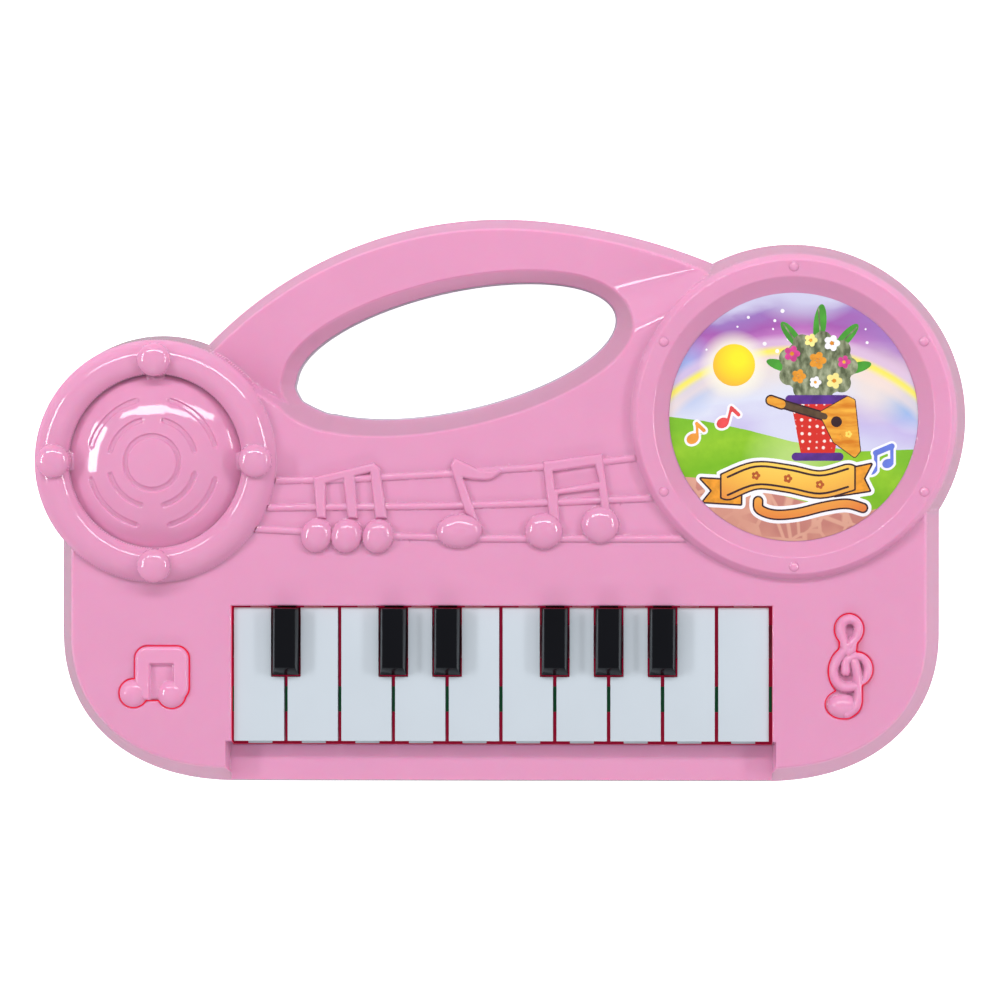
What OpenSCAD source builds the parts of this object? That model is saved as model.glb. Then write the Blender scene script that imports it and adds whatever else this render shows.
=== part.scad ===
// Toy electronic keyboard with a carry handle, lying on its back.
// +Z is out of the playing face, +Y towards the handle, origin under the middle at the feet.

/* [Case] */
// Half of the body's width at the parting line
body_half = 118.5; // [117.5:0.25:119.5]
// Height of the line where the two shells meet
parting_z = 12; // [12:0.25:12.5]
// Height of the deck, which is the flat playing face
deck_z = 32; // [32:0.25:32.5]
// Height of the face of the carry handle
handle_z = 24; // [24:0.25:25]
// Height of the sill in front of the keys
sill_z = 25; // [24.5:0.25:25.5]
// Wall thickness of the shells
wall = 2; // [1.8:0.1:2.2]
// How far the body's sides lean in between the parting line and the deck
side_lean = 4.7; // [3.5:0.1:5]

/* [Keys] */
// Distance from one white key to the next
key_pitch = 14.36; // [14.3:0.01:14.4]
// Gap between two white keys
key_gap = 0.95; // [0.8:0.05:1.1]
// Height of the top of the white keys
white_top_z = 30.5; // [30.3:0.1:31]
// Height of the top of the black keys
black_top_z = 34.5; // [33.5:0.25:35]
// How far a key turns when it is pressed, in degrees
key_travel = 3.9; // [3:0.1:3.9]

/* [Buttons] */
// Height of the faces of the two melody buttons
button_top_z = 33.6; // [33:0.1:34]

/* [Battery bay] */
// Radius of one AA cell
cell_r = 7.25; // [7:0.05:7.25]
// Length of one AA cell with its nub
cell_length = 50.5; // [49.5:0.1:50.5]

/* [Hidden] */

PINK = [0.92, 0.60, 0.76];
SHELL_GREY = [0.86, 0.85, 0.88];
STEEL = [0.72, 0.73, 0.75];
eps = 0.01;
$fn = 60;

// Speaker disc at the left and badge disc at the right
speaker_at = [-91.4, 10.4];
speaker_base_r = 34.1;
speaker_deck_r = 32.6;
dish_r = 23.2;
dome_r = 43;
dome_top_z = 38;
dish_floor_z = 29;
bead_r = 26.8;
bead_z = 31;
bead_rise = 5.2;
bead_inner = 4.4;
bead_outer = 5.75;
groove_r = 6.9;
arc_groove_r = [11.2, 16.7];
boss_orbit = 27;
boss_r = 4.4;
boss_z = 34.6;
badge_at = [78.7, 22.1];
badge_base_r = 46.9;
badge_deck_r = 43.3;
badge_rim_z = 36;
badge_rim_out_r = 41.8;
badge_rim_in_r = 37.4;
badge_floor_r = 33.3;
badge_floor_z = 31;

// Body outline
corner_x = 70;
corner_y = -35;
front_y = -76;
corner_power = 2.25;

// Handle arch and its finger opening
arch_left = [0.3, -34, 109.9];
arch_right = [-4.36, -86.5, 162.6];
arch_join = 84.9;
handle_lean = 3.3;
opening_at = [-11.8, 40.2];
opening_axes = [44.35, 16.24];
opening_tilt = 12.6;
opening_flare = 3.2;

// Key slot
slot_x = [-71.1, 73.1];
slot_y = [-65.4, -28.2];
sill_x = [-72, 73.4];
first_key_x = -70.98;
white_front_y = -64.3;
white_rear_y = -28.7;
key_bottom_z = 24.5;
black_width = 7.07;
black_notch = 7.9;
black_front_y = -46.7;
pivot_y = -20;
pivot_z = 25.5;
rod_r = 1;
rod_bore_r = 1.06;
plunger_y = -38;
plunger_z = 24.3;
BLACK_AFTER = [1, 3, 4, 6, 7, 8];
PLAIN_JOINS = [2, 5, 9];

// Board, frame and buttons
board_z = 15.5;
board_t = 1.6;
frame_z = 20.6;
frame_t = 1.6;
note_at = [-91.6, -47.4];
clef_at = [93.4, -44.2];
button_flange_z = 27.4;
button_stem_z = 23.9;
BOARD_POSTS = [[-77, -57], [-77, -33], [79, -57], [79, -33]];
FRAME_POSTS = [[-58, -13], [-40, -13], [40, -13], [58, -13]];
CASE_POSTS = [[-104, -22], [105, -20], [-64, 44], [46, 54], [-84, -66], [86, -66], [-45, 5], [44, 3]];

// Rear shell and battery bay
rear_z = 1.5;
floor_t = 2;
bay_x = 29.5;
bay_y = [-31, 16];
bay_top_z = 18.8;
bay_wall = 1.5;
cell_pitch = 15.2;
cell_z = 11.25;
bay_middle_y = -7.5;
cover_gap = 0.3;
cover_t = 1.8;
tab_y = [-15.1, 0.1];
cover_screw_x = 35;
FEET = [[-98, -30], [98, -30], [-98, 18], [98, 40]];

// ---- outlines ----

function arc(c, r, a0, a1, n) =
    [for (i = [0 : n]) let (a = a0 + (a1 - a0) * i / n) [c[0] + r * cos(a), c[1] + r * sin(a)]];

function ellipse(c, rx, ry, tilt, n) =
    [for (i = [0 : n - 1]) let (a = 360 * i / n, x = rx * cos(a), y = ry * sin(a))
        [c[0] + x * cos(tilt) - y * sin(tilt), c[1] + x * sin(tilt) + y * cos(tilt)]];

// One lower corner of the body, a superellipse from the side to the front edge
function corner(side, inset, n) =
    [for (i = [0 : n]) let (a = 90 * i / n, p = 2 / corner_power)
        [side * (corner_x + (body_half - corner_x - inset) * pow(cos(a), p)),
            corner_y + (front_y - corner_y + inset) * pow(sin(a), p)]];

function reversed(list) = [for (i = [len(list) - 1 : -1 : 0]) list[i]];

function body_outline(inset) = concat(
    [[-body_half + inset, -10.5]], corner(-1, inset, 14),
    reversed(corner(1, inset, 14)), [[body_half - inset, -3], [-66, 29]]);

// Deck between the opening and the badge, which ramps down to the handle's face
function shoulder_outline(inset, top) = [[-50, 0], [-42, 18], [-12, 30 - inset],
    [24, top - inset - 4], [44, top - inset], [62, 46], [62, 0]];

function handle_outline(inset) = concat(
    [[57.4, 20], [57.4, 64.4 - inset]],
    arc([arch_right[0], arch_right[1]], arch_right[2] - inset, 69, arch_join, 12),
    arc([arch_left[0], arch_left[1]], arch_left[2] - inset, arch_join, 136, 28),
    [[-79.3 + inset / 2, 20]]);

// A curved bar of even width along a few points
function bar_side(pts, w, s) =
    [for (i = [0 : len(pts) - 1])
        let (a = pts[max(i - 1, 0)], b = pts[min(i + 1, len(pts) - 1)], d = (b - a) / norm(b - a))
        pts[i] + s * w / 2 * [-d[1], d[0]]];
module bar(pts, w) polygon(concat(bar_side(pts, w, 1), reversed(bar_side(pts, w, -1))));

// ---- solids shared by several modules ----

// A drafted solid between two outlines
module drafted(z0, z1) {
    hull() {
        translate([0, 0, z0]) linear_extrude(eps) children(0);
        translate([0, 0, z1 - eps]) linear_extrude(eps) children(1);
    }
}

module box(x, y, z) translate([x[0], y[0], z[0]]) cube([x[1] - x[0], y[1] - y[0], z[1] - z[0]]);

module post(p, r, z0, z1) translate([p[0], p[1], z0]) cylinder(r = r, h = z1 - z0);

// A pan-head screw that points up, with its head under z
module screw(p, z, shank_r, length, head_r, head_h) {
    post(p, head_r, z - head_h, z);
    post(p, shank_r, z - eps, z + length);
}

// Points of a smooth curve from p0 to p3, led by p1 and p2
function bend(p0, p1, p2, p3, n) =
    [for (i = [0 : n]) let (t = i / n, u = 1 - t)
        u * u * u * p0 + 3 * u * u * t * p1 + 3 * u * t * t * p2 + t * t * t * p3];

// A round wire swept along a list of points
module wire(pts, r) {
    sides = 8;
    last = len(pts) - 1;
    function ring(i) =
        let (d = pts[min(i + 1, last)] - pts[max(i - 1, 0)], t = d / norm(d),
            u = cross(t, [0.31, 0.95, 0.05]), a = u / norm(u), b = cross(t, a))
        [for (k = [0 : sides - 1]) pts[i] + r * (cos(360 * k / sides) * a + sin(360 * k / sides) * b)];
    polyhedron(
        [for (i = [0 : last]) each ring(i)],
        concat([[for (k = [0 : sides - 1]) k]], [[for (k = [sides - 1 : -1 : 0]) last * sides + k]],
            [for (i = [0 : last - 1], k = [0 : sides - 1])
                let (a = i * sides, b = a + sides, n = (k + 1) % sides) [a + k, b + k, b + n, a + n]]));
}

// The whole outer form of the front shell, or its cavity when inset is the wall
module front_form(inset) {
    low = parting_z - (inset > 0 ? 1 : 0);
    top = deck_z - inset;
    drafted(low, top) {
        polygon(body_outline(inset));
        polygon(body_outline(inset + side_lean));
    }
    drafted(low, top) {
        polygon(shoulder_outline(inset, 62));
        polygon(shoulder_outline(inset, 48));
    }
    drafted(low, handle_z - inset) {
        polygon(handle_outline(inset));
        polygon(handle_outline(inset + handle_lean));
    }
    translate([speaker_at[0], speaker_at[1], low])
        cylinder(r1 = speaker_base_r - inset, r2 = speaker_deck_r - inset,
            h = (inset > 0 ? dish_floor_z : top) - low);
    translate([badge_at[0], badge_at[1], low])
        cylinder(r1 = badge_base_r - inset, r2 = badge_deck_r - inset, h = (inset > 0 ? 29 : top) - low);
}

// Finger opening, flared towards the playing face
module finger_opening(grow) {
    flare = [(opening_axes[0] + opening_flare) / opening_axes[0],
        (opening_axes[1] + opening_flare) / opening_axes[1]];
    translate([opening_at[0], opening_at[1], parting_z - 1]) rotate(opening_tilt)
        linear_extrude(deck_z - parting_z + 2, scale = flare, slices = 1)
            polygon(ellipse([0, 0], opening_axes[0] + grow, opening_axes[1] + grow, 0, 72));
}

function dome_z(r) = dome_top_z - dome_r + sqrt(dome_r * dome_r - r * r);

// Rounded bead, domed dish with blind grooves, and four bosses of the speaker face
module speaker_face() {
    dome = [for (i = [0 : 10]) let (r = dish_r * i / 10) [r, dome_z(r)]];
    bead = [for (a = [145 : -12 : 1])
        [bead_r + (a > 90 ? bead_inner : bead_outer) * cos(a), bead_z + bead_rise * sin(a)]];
    translate([speaker_at[0], speaker_at[1], 0]) {
        difference() {
            rotate_extrude()
                polygon(concat([[0, 28]], dome, bead, [[speaker_deck_r, bead_z], [speaker_deck_r, 28]]));
            rotate_extrude() translate([groove_r - 0.6, dome_z(groove_r) - 0.8]) square([1.2, 2]);
            for (quarter = [0 : 3], r = arc_groove_r)
                rotate(90 * quarter + 16)
                    rotate_extrude(angle = 58) translate([r - 0.65, dome_z(r) - 0.9]) square([1.3, 4]);
        }
        for (a = [0 : 90 : 270]) rotate(a) translate([boss_orbit, 0, boss_z]) sphere(r = boss_r, $fn = 40);
    }
}
module dish_space() translate([speaker_at[0], speaker_at[1], 28]) cylinder(r = bead_r, h = 12);

// Flat raised rim of the badge with its six rivets, and the space inside it
module badge_face() translate([badge_at[0], badge_at[1], 0]) {
    translate([0, 0, 28]) cylinder(r1 = badge_deck_r, r2 = badge_rim_out_r, h = badge_rim_z - 28);
    for (a = [30 : 60 : 330]) rotate(a) translate([39.8, 0, badge_rim_z - 0.5])
        cylinder(r = 1.2, h = 1, $fn = 24);
}
module badge_space() translate([badge_at[0], badge_at[1], badge_floor_z])
    cylinder(r1 = badge_floor_r, r2 = badge_rim_in_r, h = badge_rim_z - badge_floor_z + eps);

// Raised staff and notes between the two discs, as outlines on the deck
module staff() {
    bar([[-67, 6.2], [-40, 6.6], [-12, 7.8], [22, 10], [37, 12.2]], 1.3);
    bar([[-64, -1.8], [-12, -1.2], [22, -0.4], [41, 0.8]], 1.3);
    bar([[-67, -7.6], [-28, -9.6], [22, -10.2], [50, -10.2]], 1.3);
}
module notes() {
    polygon([[-49.4, 6.1], [-32.7, 10.7], [-31, 9.6], [-32.4, 7], [-49.2, 2.4]]);
    for (x = [-47.6, -40.2, -32]) bar([[x, 5], [x + 0.6, -6]], 2.6);
    for (x = [-48.4, -40.4, -32]) polygon(ellipse([x, -9.3], 3.6, 4.6, -20, 24));
    bar([[-11.2, 11], [-5.8, -6]], 3);
    bar([[-11.4, 11], [-6, 7.4], [0.8, 7.2]], 2.4);
    polygon(ellipse([-10.2, -8.2], 6.2, 4.7, 10, 28));
    polygon([[12, 10.5], [28, 12.6], [28.4, 10], [12, 8]]);
    bar([[15.6, 3], [28.4, 4.8]], 1.8);
    bar([[13.6, 9], [15.8, -6]], 3);
    bar([[27, 11], [29.4, -4]], 2.8);
    polygon(ellipse([12.4, -8.5], 4.7, 4.6, 0, 28));
    polygon(ellipse([27.4, -7], 5, 4.6, 0, 28));
}

// Face outline of the left button: two joined quavers
module note_outline() {
    difference() {
        union() {
            translate([note_at[0] - 5.2, note_at[1] - 5]) square([14.9, 13.6]);
            translate([note_at[0] - 5.5, note_at[1] - 4.5]) circle(r = 4);
            translate([note_at[0] + 4.9, note_at[1] - 4.5]) circle(r = 4);
        }
        translate([note_at[0] - 1, note_at[1] - 9]) square([5.4, 2.3]);
    }
}
module note_recess()
    translate([note_at[0] - 0.8, note_at[1] - 8]) square([6.2, 11.5]);

// Face outline of the right button: a treble clef
module clef_outline() {
    translate(clef_at) {
        polygon(ellipse([-0.9, 10], 4, 4.3, 0, 28));
        polygon(ellipse([0.3, -2.2], 6, 6.6, 0, 28));
        polygon(ellipse([-1, -9.6], 4.9, 4.6, 0, 28));
        translate([-2.9, -6]) square([4.4, 14]);
    }
}
module clef_recess() translate(clef_at) polygon(ellipse([-0.9, 9.6], 1.3, 2.6, 0, 20));

// ---- case ----

// Walls inside the case around the key slot and the sill
module slot_walls() {
    box([sill_x[0] - wall, sill_x[1] + wall], [front_y - 1, slot_y[0] + 0.5], [sill_z - wall, deck_z]);
    box([slot_x[0] - wall, slot_x[1] + wall], [slot_y[0], slot_y[1] + wall], [28, deck_z]);
}

module front_shell() color(PINK) difference() {
    union() {
        difference() {
            union() {
                difference() {
                    front_form(0);
                    dish_space();
                }
                speaker_face();
                badge_face();
            }
            difference() {
                front_form(wall);
                finger_opening(wall);
                slot_walls();
                translate([speaker_at[0], speaker_at[1], dish_floor_z]) cylinder(r = speaker_deck_r, h = 10);
            }
        }
        translate([0, 0, deck_z - 0.5]) linear_extrude(1.4) staff();
        translate([0, 0, deck_z - 0.5]) linear_extrude(2) notes();
        for (p = CASE_POSTS) post(p, 3, parting_z + 0.3, (p[1] > 40 ? handle_z : deck_z) - 1);
        for (p = BOARD_POSTS) post(p, 2.4, board_z + board_t + 0.1, deck_z - 1);
        for (p = FRAME_POSTS) post(p, 2.4, frame_z + frame_t + 0.1, deck_z - 1);
    }
    badge_space();
    finger_opening(0);
    box(slot_x, slot_y, [20, deck_z + 3]);
    box(sill_x, [front_y - 2, slot_y[0] + 1], [sill_z, deck_z + 3]);
    translate([0, 0, 20]) linear_extrude(20) offset(delta = 0.5) note_outline();
    translate([0, 0, 20]) linear_extrude(20) offset(delta = 0.5) clef_outline();
    for (p = CASE_POSTS) post(p, 1.35, parting_z, 22.5);
    for (p = BOARD_POSTS) post(p, 1.15, board_z, 26);
    for (p = FRAME_POSTS) post(p, 1.15, frame_z, 28.5);
}

module rear_outline() {
    polygon(body_outline(0));
    polygon(shoulder_outline(0, 62));
    polygon(handle_outline(0));
    translate(speaker_at) circle(r = speaker_base_r, $fn = 90);
    translate(badge_at) circle(r = badge_base_r, $fn = 110);
    opening_outline(3);
}
module opening_outline(grow) translate(opening_at)
    polygon(ellipse([0, 0], opening_axes[0] + grow, opening_axes[1] + grow, opening_tilt, 72));

module cover_outline(gap) {
    translate([-bay_x - 1 + gap, bay_y[0] + gap])
        square([2 * (bay_x + 1 - gap), bay_y[1] - bay_y[0] - 2 * gap]);
    translate([bay_x, bay_middle_y - 4 + gap]) square([9.5 - gap, 8 - 2 * gap]);
}

module rear_shell() color(SHELL_GREY) difference() {
    union() {
        translate([0, 0, rear_z]) linear_extrude(floor_t) difference() {
            rear_outline();
            opening_outline(0);
        }
        translate([0, 0, rear_z]) linear_extrude(parting_z - rear_z) difference() {
            rear_outline();
            offset(delta = -wall) rear_outline();
        }
        translate([0, 0, rear_z]) linear_extrude(parting_z - rear_z) difference() {
            opening_outline(wall);
            opening_outline(-0.4);
        }
        for (p = FEET) post(p, 5, 0, rear_z + eps);
        for (p = CASE_POSTS) post(p, 4.2, rear_z, parting_z);
        for (y = [-1, 1]) post(speaker_at + [0, 24 * y], 2.6, rear_z, 5.2);
        box([-bay_x - bay_wall, bay_x + bay_wall], [bay_y[0] - bay_wall, bay_y[1] + bay_wall],
            [rear_z, bay_top_z + bay_wall]);
        post([cover_screw_x, bay_middle_y], 3.4, 4.4, 14);
        box([bay_x, cover_screw_x - 2], [bay_middle_y - 2, bay_middle_y + 2], [4.4, 14]);
    }
    box([-bay_x, bay_x], [bay_y[0] + 1, bay_y[1] - 1], [0, bay_top_z]);
    translate([0, 0, 0]) linear_extrude(rear_z + cover_t + 0.3) cover_outline(0);
    box([bay_x + bay_wall, bay_x + 9.5], [bay_middle_y - 4, bay_middle_y + 4], [0, 4.4]);
    for (y = tab_y) box([-bay_x - 4, -bay_x + 1], [y - 3, y + 3], [3.3, 6.2]);
    post([cover_screw_x, bay_middle_y], 2.2, 4, 13);
    for (p = CASE_POSTS) {
        post(p, 3.1, rear_z - 1, 9);
        post(p, 1.5, rear_z, parting_z + 1);
    }
    for (y = [-1, 1]) post(speaker_at + [0, 24 * y], 1.05, 2.5, 6);
    for (ring = [5, 10, 15], a = [0 : 60 : 300])
        translate([speaker_at[0], speaker_at[1], 0]) rotate(a)
            rotate_extrude(angle = 44) translate([ring - 0.8, 0]) square([1.6, 4]);
}

module badge_sticker() color("mediumpurple")
    translate([badge_at[0], badge_at[1], badge_floor_z])
        cylinder(r = badge_floor_r - 0.2, h = 0.25, $fn = 120);

// ---- keys ----

function join_x(i) = first_key_x + key_pitch * i;
// How far a white key's plunger sits from its middle, where the key is notched on one side
function plunger_shift(i) = (is_black(i - 1) ? 1 : 0) - (is_black(i) ? 1 : 0);
function is_black(i) = len(search(i, BLACK_AFTER)) > 0;

// Seen from above, white key number i from 1, with the notches for its black neighbours
module white_outline(i) difference() {
    translate([join_x(i - 1) + key_gap / 2, white_front_y])
        square([key_pitch - key_gap, white_rear_y - white_front_y]);
    for (j = [i - 1, i]) if (is_black(j))
        translate([join_x(j) - black_notch / 2, black_front_y - 0.5]) square([black_notch, 30]);
}

// Arm from the key back to its bore on the pivot rod
module key_arm(x) {
    box([x - 2.5, x + 2.5], [white_rear_y - 0.6, pivot_y], [23.4, 28]);
    translate([x - 2.5, pivot_y, pivot_z]) rotate([0, 90, 0]) cylinder(r = 2.8, h = 5);
}
module arm_bore(x) translate([x - 3, pivot_y, pivot_z]) rotate([0, 90, 0]) cylinder(r = rod_bore_r, h = 6);

module white_key(i) {
    x = join_x(i - 0.5);
    color([0.86, 0.88, 0.92]) difference() {
        union() {
            difference() {
                translate([0, 0, key_bottom_z]) linear_extrude(white_top_z - key_bottom_z) white_outline(i);
                box([x - key_pitch / 2 + 1.6, x + key_pitch / 2 - 1.6],
                    [white_front_y + 1.1, black_front_y - 1.6],
                    [key_bottom_z - 1, white_top_z - 1.4]);
            }
            post([x + plunger_shift(i), plunger_y], 1.4, plunger_z, white_top_z - 1);
            box([x - 3.2, x + 3.2], [white_front_y - 0.8, white_front_y + 0.5], [key_bottom_z, 26.3]);
            key_arm(x);
        }
        arm_bore(x);
    }
}

module black_key(k) {
    x = join_x(BLACK_AFTER[k - 1]);
    color([0.09, 0.09, 0.12]) difference() {
        union() {
            difference() {
                hull() {
                    box([x - black_width / 2, x + black_width / 2], [black_front_y, white_rear_y],
                        [key_bottom_z, white_top_z + 0.6]);
                    box([x - 2.75, x + 2.75], [black_front_y + 2.1, white_rear_y - 0.2],
                        [black_top_z - 1, black_top_z]);
                }
                box([x - 2.1, x + 2.1], [black_front_y + 1.6, white_rear_y - 1.4], [key_bottom_z - 1, 32]);
            }
            post([x, plunger_y], 1.4, plunger_z, 33);
            key_arm(x);
        }
        arm_bore(x);
    }
}

module key_pivot_rod() color(STEEL)
    translate([-75.5, pivot_y, pivot_z]) rotate([0, 90, 0]) cylinder(r = rod_r, h = 152.5);

// Plate under the keys with the ears that hold the rod
module key_frame() color("dimgray") difference() {
    union() {
        box([-75.5, 77.5], [-25, -10], [frame_z, frame_z + frame_t]);
        box([-73.8, 75.8], [-50, -24], [frame_z, frame_z + frame_t]);
        for (x = [-75.5, join_x(PLAIN_JOINS[0]) - 1.5, join_x(PLAIN_JOINS[1]) - 1.5,
                join_x(PLAIN_JOINS[2]) - 1.5, 74]) {
            box([x, x + 3], [pivot_y - 2.8, pivot_y + 2.8], [frame_z, pivot_z]);
            translate([x, pivot_y, pivot_z]) rotate([0, 90, 0]) cylinder(r = 2.8, h = 3);
        }
    }
    translate([-80, pivot_y, pivot_z]) rotate([0, 90, 0]) cylinder(r = rod_r + 0.03, h = 160);
    for (window = [[-72, join_x(2) - 1], [join_x(2) + 1, join_x(5) - 1],
            [join_x(5) + 1, join_x(9) - 1], [join_x(9) + 1, 74]])
        box(window, [-42.5, -33.5], [frame_z - 1, frame_z + frame_t + 1]);
    for (p = FRAME_POSTS) post(p, 1.3, frame_z - 1, frame_z + frame_t + 1);
}

module key_frame_screws() color(STEEL) for (p = FRAME_POSTS) screw(p, frame_z - 0.05, 1.1, 6, 2.3, 1.2);

module key_dome(x)
    translate([x, plunger_y, board_z + board_t + 0.6]) cylinder(r1 = 3, r2 = 2.2, h = 4.9, $fn = 32);

// Rubber sheet with one dome under each key
module key_membrane() color("gainsboro") {
    box([-72, 74], [-44.5, -33], [board_z + board_t + 0.05, board_z + board_t + 0.7]);
    for (i = [1 : 10])
        key_dome(join_x(i - 0.5) + plunger_shift(i));
    for (j = BLACK_AFTER) key_dome(join_x(j));
}

// ---- electronics ----

module main_board() color([0.05, 0.3, 0.16]) difference() {
    translate([0, 0, board_z]) linear_extrude(board_t)
        polygon([[-103, -30], [-103, -54], [-97, -60.5], [97, -60.5], [103, -54], [103, -30],
            [34, -30], [34, -33], [-34, -33], [-34, -30]]);
    for (p = BOARD_POSTS) post(p, 1.3, board_z - 1, board_z + board_t + 1);
}
module board_chip() color([0.06, 0.06, 0.07])
    translate([-18, -52, board_z - 1.35]) intersection() {
        cylinder(r1 = 5.6, r2 = 7, h = 1.3);
        translate([0, 0, 9.6]) sphere(r = 10.4);
    }
module board_capacitors() color("darkslateblue") for (x = [6, 14])
    post([x, -53], 2.5, board_z - 8.1, board_z - 0.05);
module board_screws() color(STEEL) for (p = BOARD_POSTS) screw(p, board_z - 0.05, 1.1, 8, 2.2, 1.3);

// A melody button: its face, a flange under the deck and a stem over the rubber pad
module button(centre) color(PINK) difference() {
    union() {
        translate([0, 0, button_flange_z]) linear_extrude(button_top_z - button_flange_z) children(0);
        translate([0, 0, button_flange_z]) linear_extrude(2.2) offset(delta = 1.6) children(0);
        post(centre, 2.6, button_stem_z, button_flange_z + 1);
    }
    translate([0, 0, button_top_z - 1.2]) linear_extrude(2) children(1);
}
module note_button() button(note_at) {
    note_outline();
    note_recess();
}
module clef_button() button(clef_at) {
    clef_outline();
    clef_recess();
}
module button_pad(centre) color("gainsboro") {
    post(centre, 5, board_z + board_t + 0.05, board_z + board_t + 0.8);
    translate([centre[0], centre[1], board_z + board_t + 0.7]) cylinder(r1 = 4, r2 = 3, h = 4.6);
}
module note_button_pad() button_pad(note_at);
module clef_button_pad() button_pad(clef_at);

// ---- speaker, which faces the rear ----

module at_speaker() translate([speaker_at[0], speaker_at[1], 0]) children();

module speaker_frame() color("darkgray") at_speaker() rotate_extrude()
    polygon([[17.6, 3.6], [20, 3.6], [20, 5.1], [17.6, 5.1], [11.5, 9.8],
        [8, 9.8], [8, 9], [11, 9], [16.8, 4.6]]);
module speaker_cone() color([0.15, 0.15, 0.16]) at_speaker() rotate_extrude()
    polygon([[17.3, 3.7], [16.2, 4.3], [10, 7.4], [5, 8.6], [0, 6.6],
        [0, 5.9], [5, 7.9], [10, 6.6], [15.8, 3.7]]);
module speaker_magnet() color(STEEL) at_speaker() {
    translate([0, 0, 9.85]) cylinder(r = 11, h = 1.2);
    translate([0, 0, 11]) cylinder(r = 9, h = 4.5);
}
module speaker_clamp() color("whitesmoke") at_speaker() difference() {
    union() {
        translate([0, 0, 5.3]) cylinder(r = 20.5, h = 1.4);
        for (y = [-1, 1]) hull() {
            translate([0, 24 * y, 5.3]) cylinder(r = 3, h = 1.4, $fn = 32);
            translate([0, 19 * y, 5.3]) cylinder(r = 4, h = 1.4, $fn = 32);
        }
    }
    translate([0, 0, 4]) cylinder(r = 17.8, h = 4);
    for (y = [-1, 1]) translate([0, 24 * y, 4]) cylinder(r = 1.3, h = 4);
}
module speaker_clamp_screws() color(STEEL) at_speaker() for (y = [-1, 1])
    translate([0, 24 * y, 0]) {
        translate([0, 0, 6.75]) cylinder(r = 2.2, h = 1.2);
        translate([0, 0, 2.9]) cylinder(r = 1, h = 4);
    }
module speaker_wires() color("firebrick") for (x = [0, 2.5])
    wire(bend([-73 + x, 4, 7.6], [-73 + x, -8, 7.6], [-69 + x, -38, 5],
        [-69 + x, -38, board_z - 0.4], 12), 0.6);
module battery_wires() color("firebrick") for (x = [0, 2.5])
    wire(bend([-31.1, -16 - x, 8], [-44 + x, -16 - x, 6], [-44 + x, -38, 6],
        [-44 + x, -38, board_z - 0.4], 12), 0.6);

// ---- batteries ----

function cell_y(i) = bay_middle_y + (i - 2) * cell_pitch;
function cell_side(i) = i == 2 ? -1 : 1;

// Cell number i, whose nub points to one end
module battery(i) color("darkslategray") {
    s = cell_side(i);
    translate([0.8 * s, cell_y(i), cell_z]) rotate([0, 90 * s, 0]) {
        translate([0, 0, -cell_length / 2]) cylinder(r = cell_r, h = cell_length - 1.5);
        translate([0, 0, cell_length / 2 - 1.6]) cylinder(r = 2.7, h = 1.6);
    }
}
module battery_1() battery(1);
module battery_2() battery(2);
module battery_3() battery(3);
module battery_springs() color(STEEL) for (i = [1 : 3])
    translate([-cell_side(i) * (bay_x - 0.1), cell_y(i), cell_z]) rotate([0, 90 * cell_side(i), 0])
        rotate_extrude($fn = 32) polygon([[3.4, 0], [4, 0], [4, 0.4], [2.2, 4.6], [1.6, 4.6], [3.4, 0.4]]);
module battery_plates() color(STEEL) for (i = [1 : 3])
    translate([cell_side(i) * (bay_x - 0.35), cell_y(i), cell_z]) cube([0.5, 10, 10], center = true);

// Cover that hooks in at its left edge and is held by one screw at the right
module battery_cover() color(SHELL_GREY) difference() {
    union() {
        translate([0, 0, rear_z]) linear_extrude(cover_t) cover_outline(cover_gap);
        box([bay_x + bay_wall + cover_gap, bay_x + 9.2], [bay_middle_y - 3.7, bay_middle_y + 3.7],
            [rear_z, 4]);
        for (y = tab_y) {
            box([-bay_x - 0.7, -bay_x + 1.5], [y - 2.5, y + 2.5], [rear_z + 0.5, 4.9]);
            box([-bay_x - 2.9, -bay_x + 1.5], [y - 2.5, y + 2.5], [3.75, 4.9]);
        }
    }
    post([cover_screw_x, bay_middle_y], 2.9, 0, 2.9);
    post([cover_screw_x, bay_middle_y], 1.6, 0, 6);
}
module battery_cover_screw() color(STEEL) screw([cover_screw_x, bay_middle_y], 2.88, 1.4, 8, 2.7, 1.2);

module case_screws() color(STEEL) for (p = CASE_POSTS) screw(p, 8.95, 1.3, 12, 2.8, 1.8);

front_shell();
rear_shell();
badge_sticker();
white_key(1);  // white_key_1
white_key(2);  // white_key_2
white_key(3);  // white_key_3
white_key(4);  // white_key_4
white_key(5);  // white_key_5
white_key(6);  // white_key_6
white_key(7);  // white_key_7
white_key(8);  // white_key_8
white_key(9);  // white_key_9
white_key(10);  // white_key_10
black_key(1);  // black_key_1
black_key(2);  // black_key_2
black_key(3);  // black_key_3
black_key(4);  // black_key_4
black_key(5);  // black_key_5
black_key(6);  // black_key_6
key_pivot_rod();
key_frame();
key_frame_screws();
key_membrane();
main_board();
board_chip();
board_capacitors();
board_screws();
note_button();
clef_button();
note_button_pad();
clef_button_pad();
speaker_frame();
speaker_magnet();
speaker_cone();
speaker_clamp();
speaker_clamp_screws();
speaker_wires();
battery_wires();
battery_1();
battery_2();
battery_3();
battery_springs();
battery_plates();
battery_cover();
battery_cover_screw();
case_screws();
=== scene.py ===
"""Toy electronic keyboard with a carry handle, seen from above.

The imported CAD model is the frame. The two case shells, the two melody buttons and the badge picture are
rebuilt here as finer meshes, and the keys and the battery cover get rounded edges. A few inner walls of the
case that show through its gaps are added. Lengths are in millimetres until a mesh is made.
"""
import math

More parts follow.
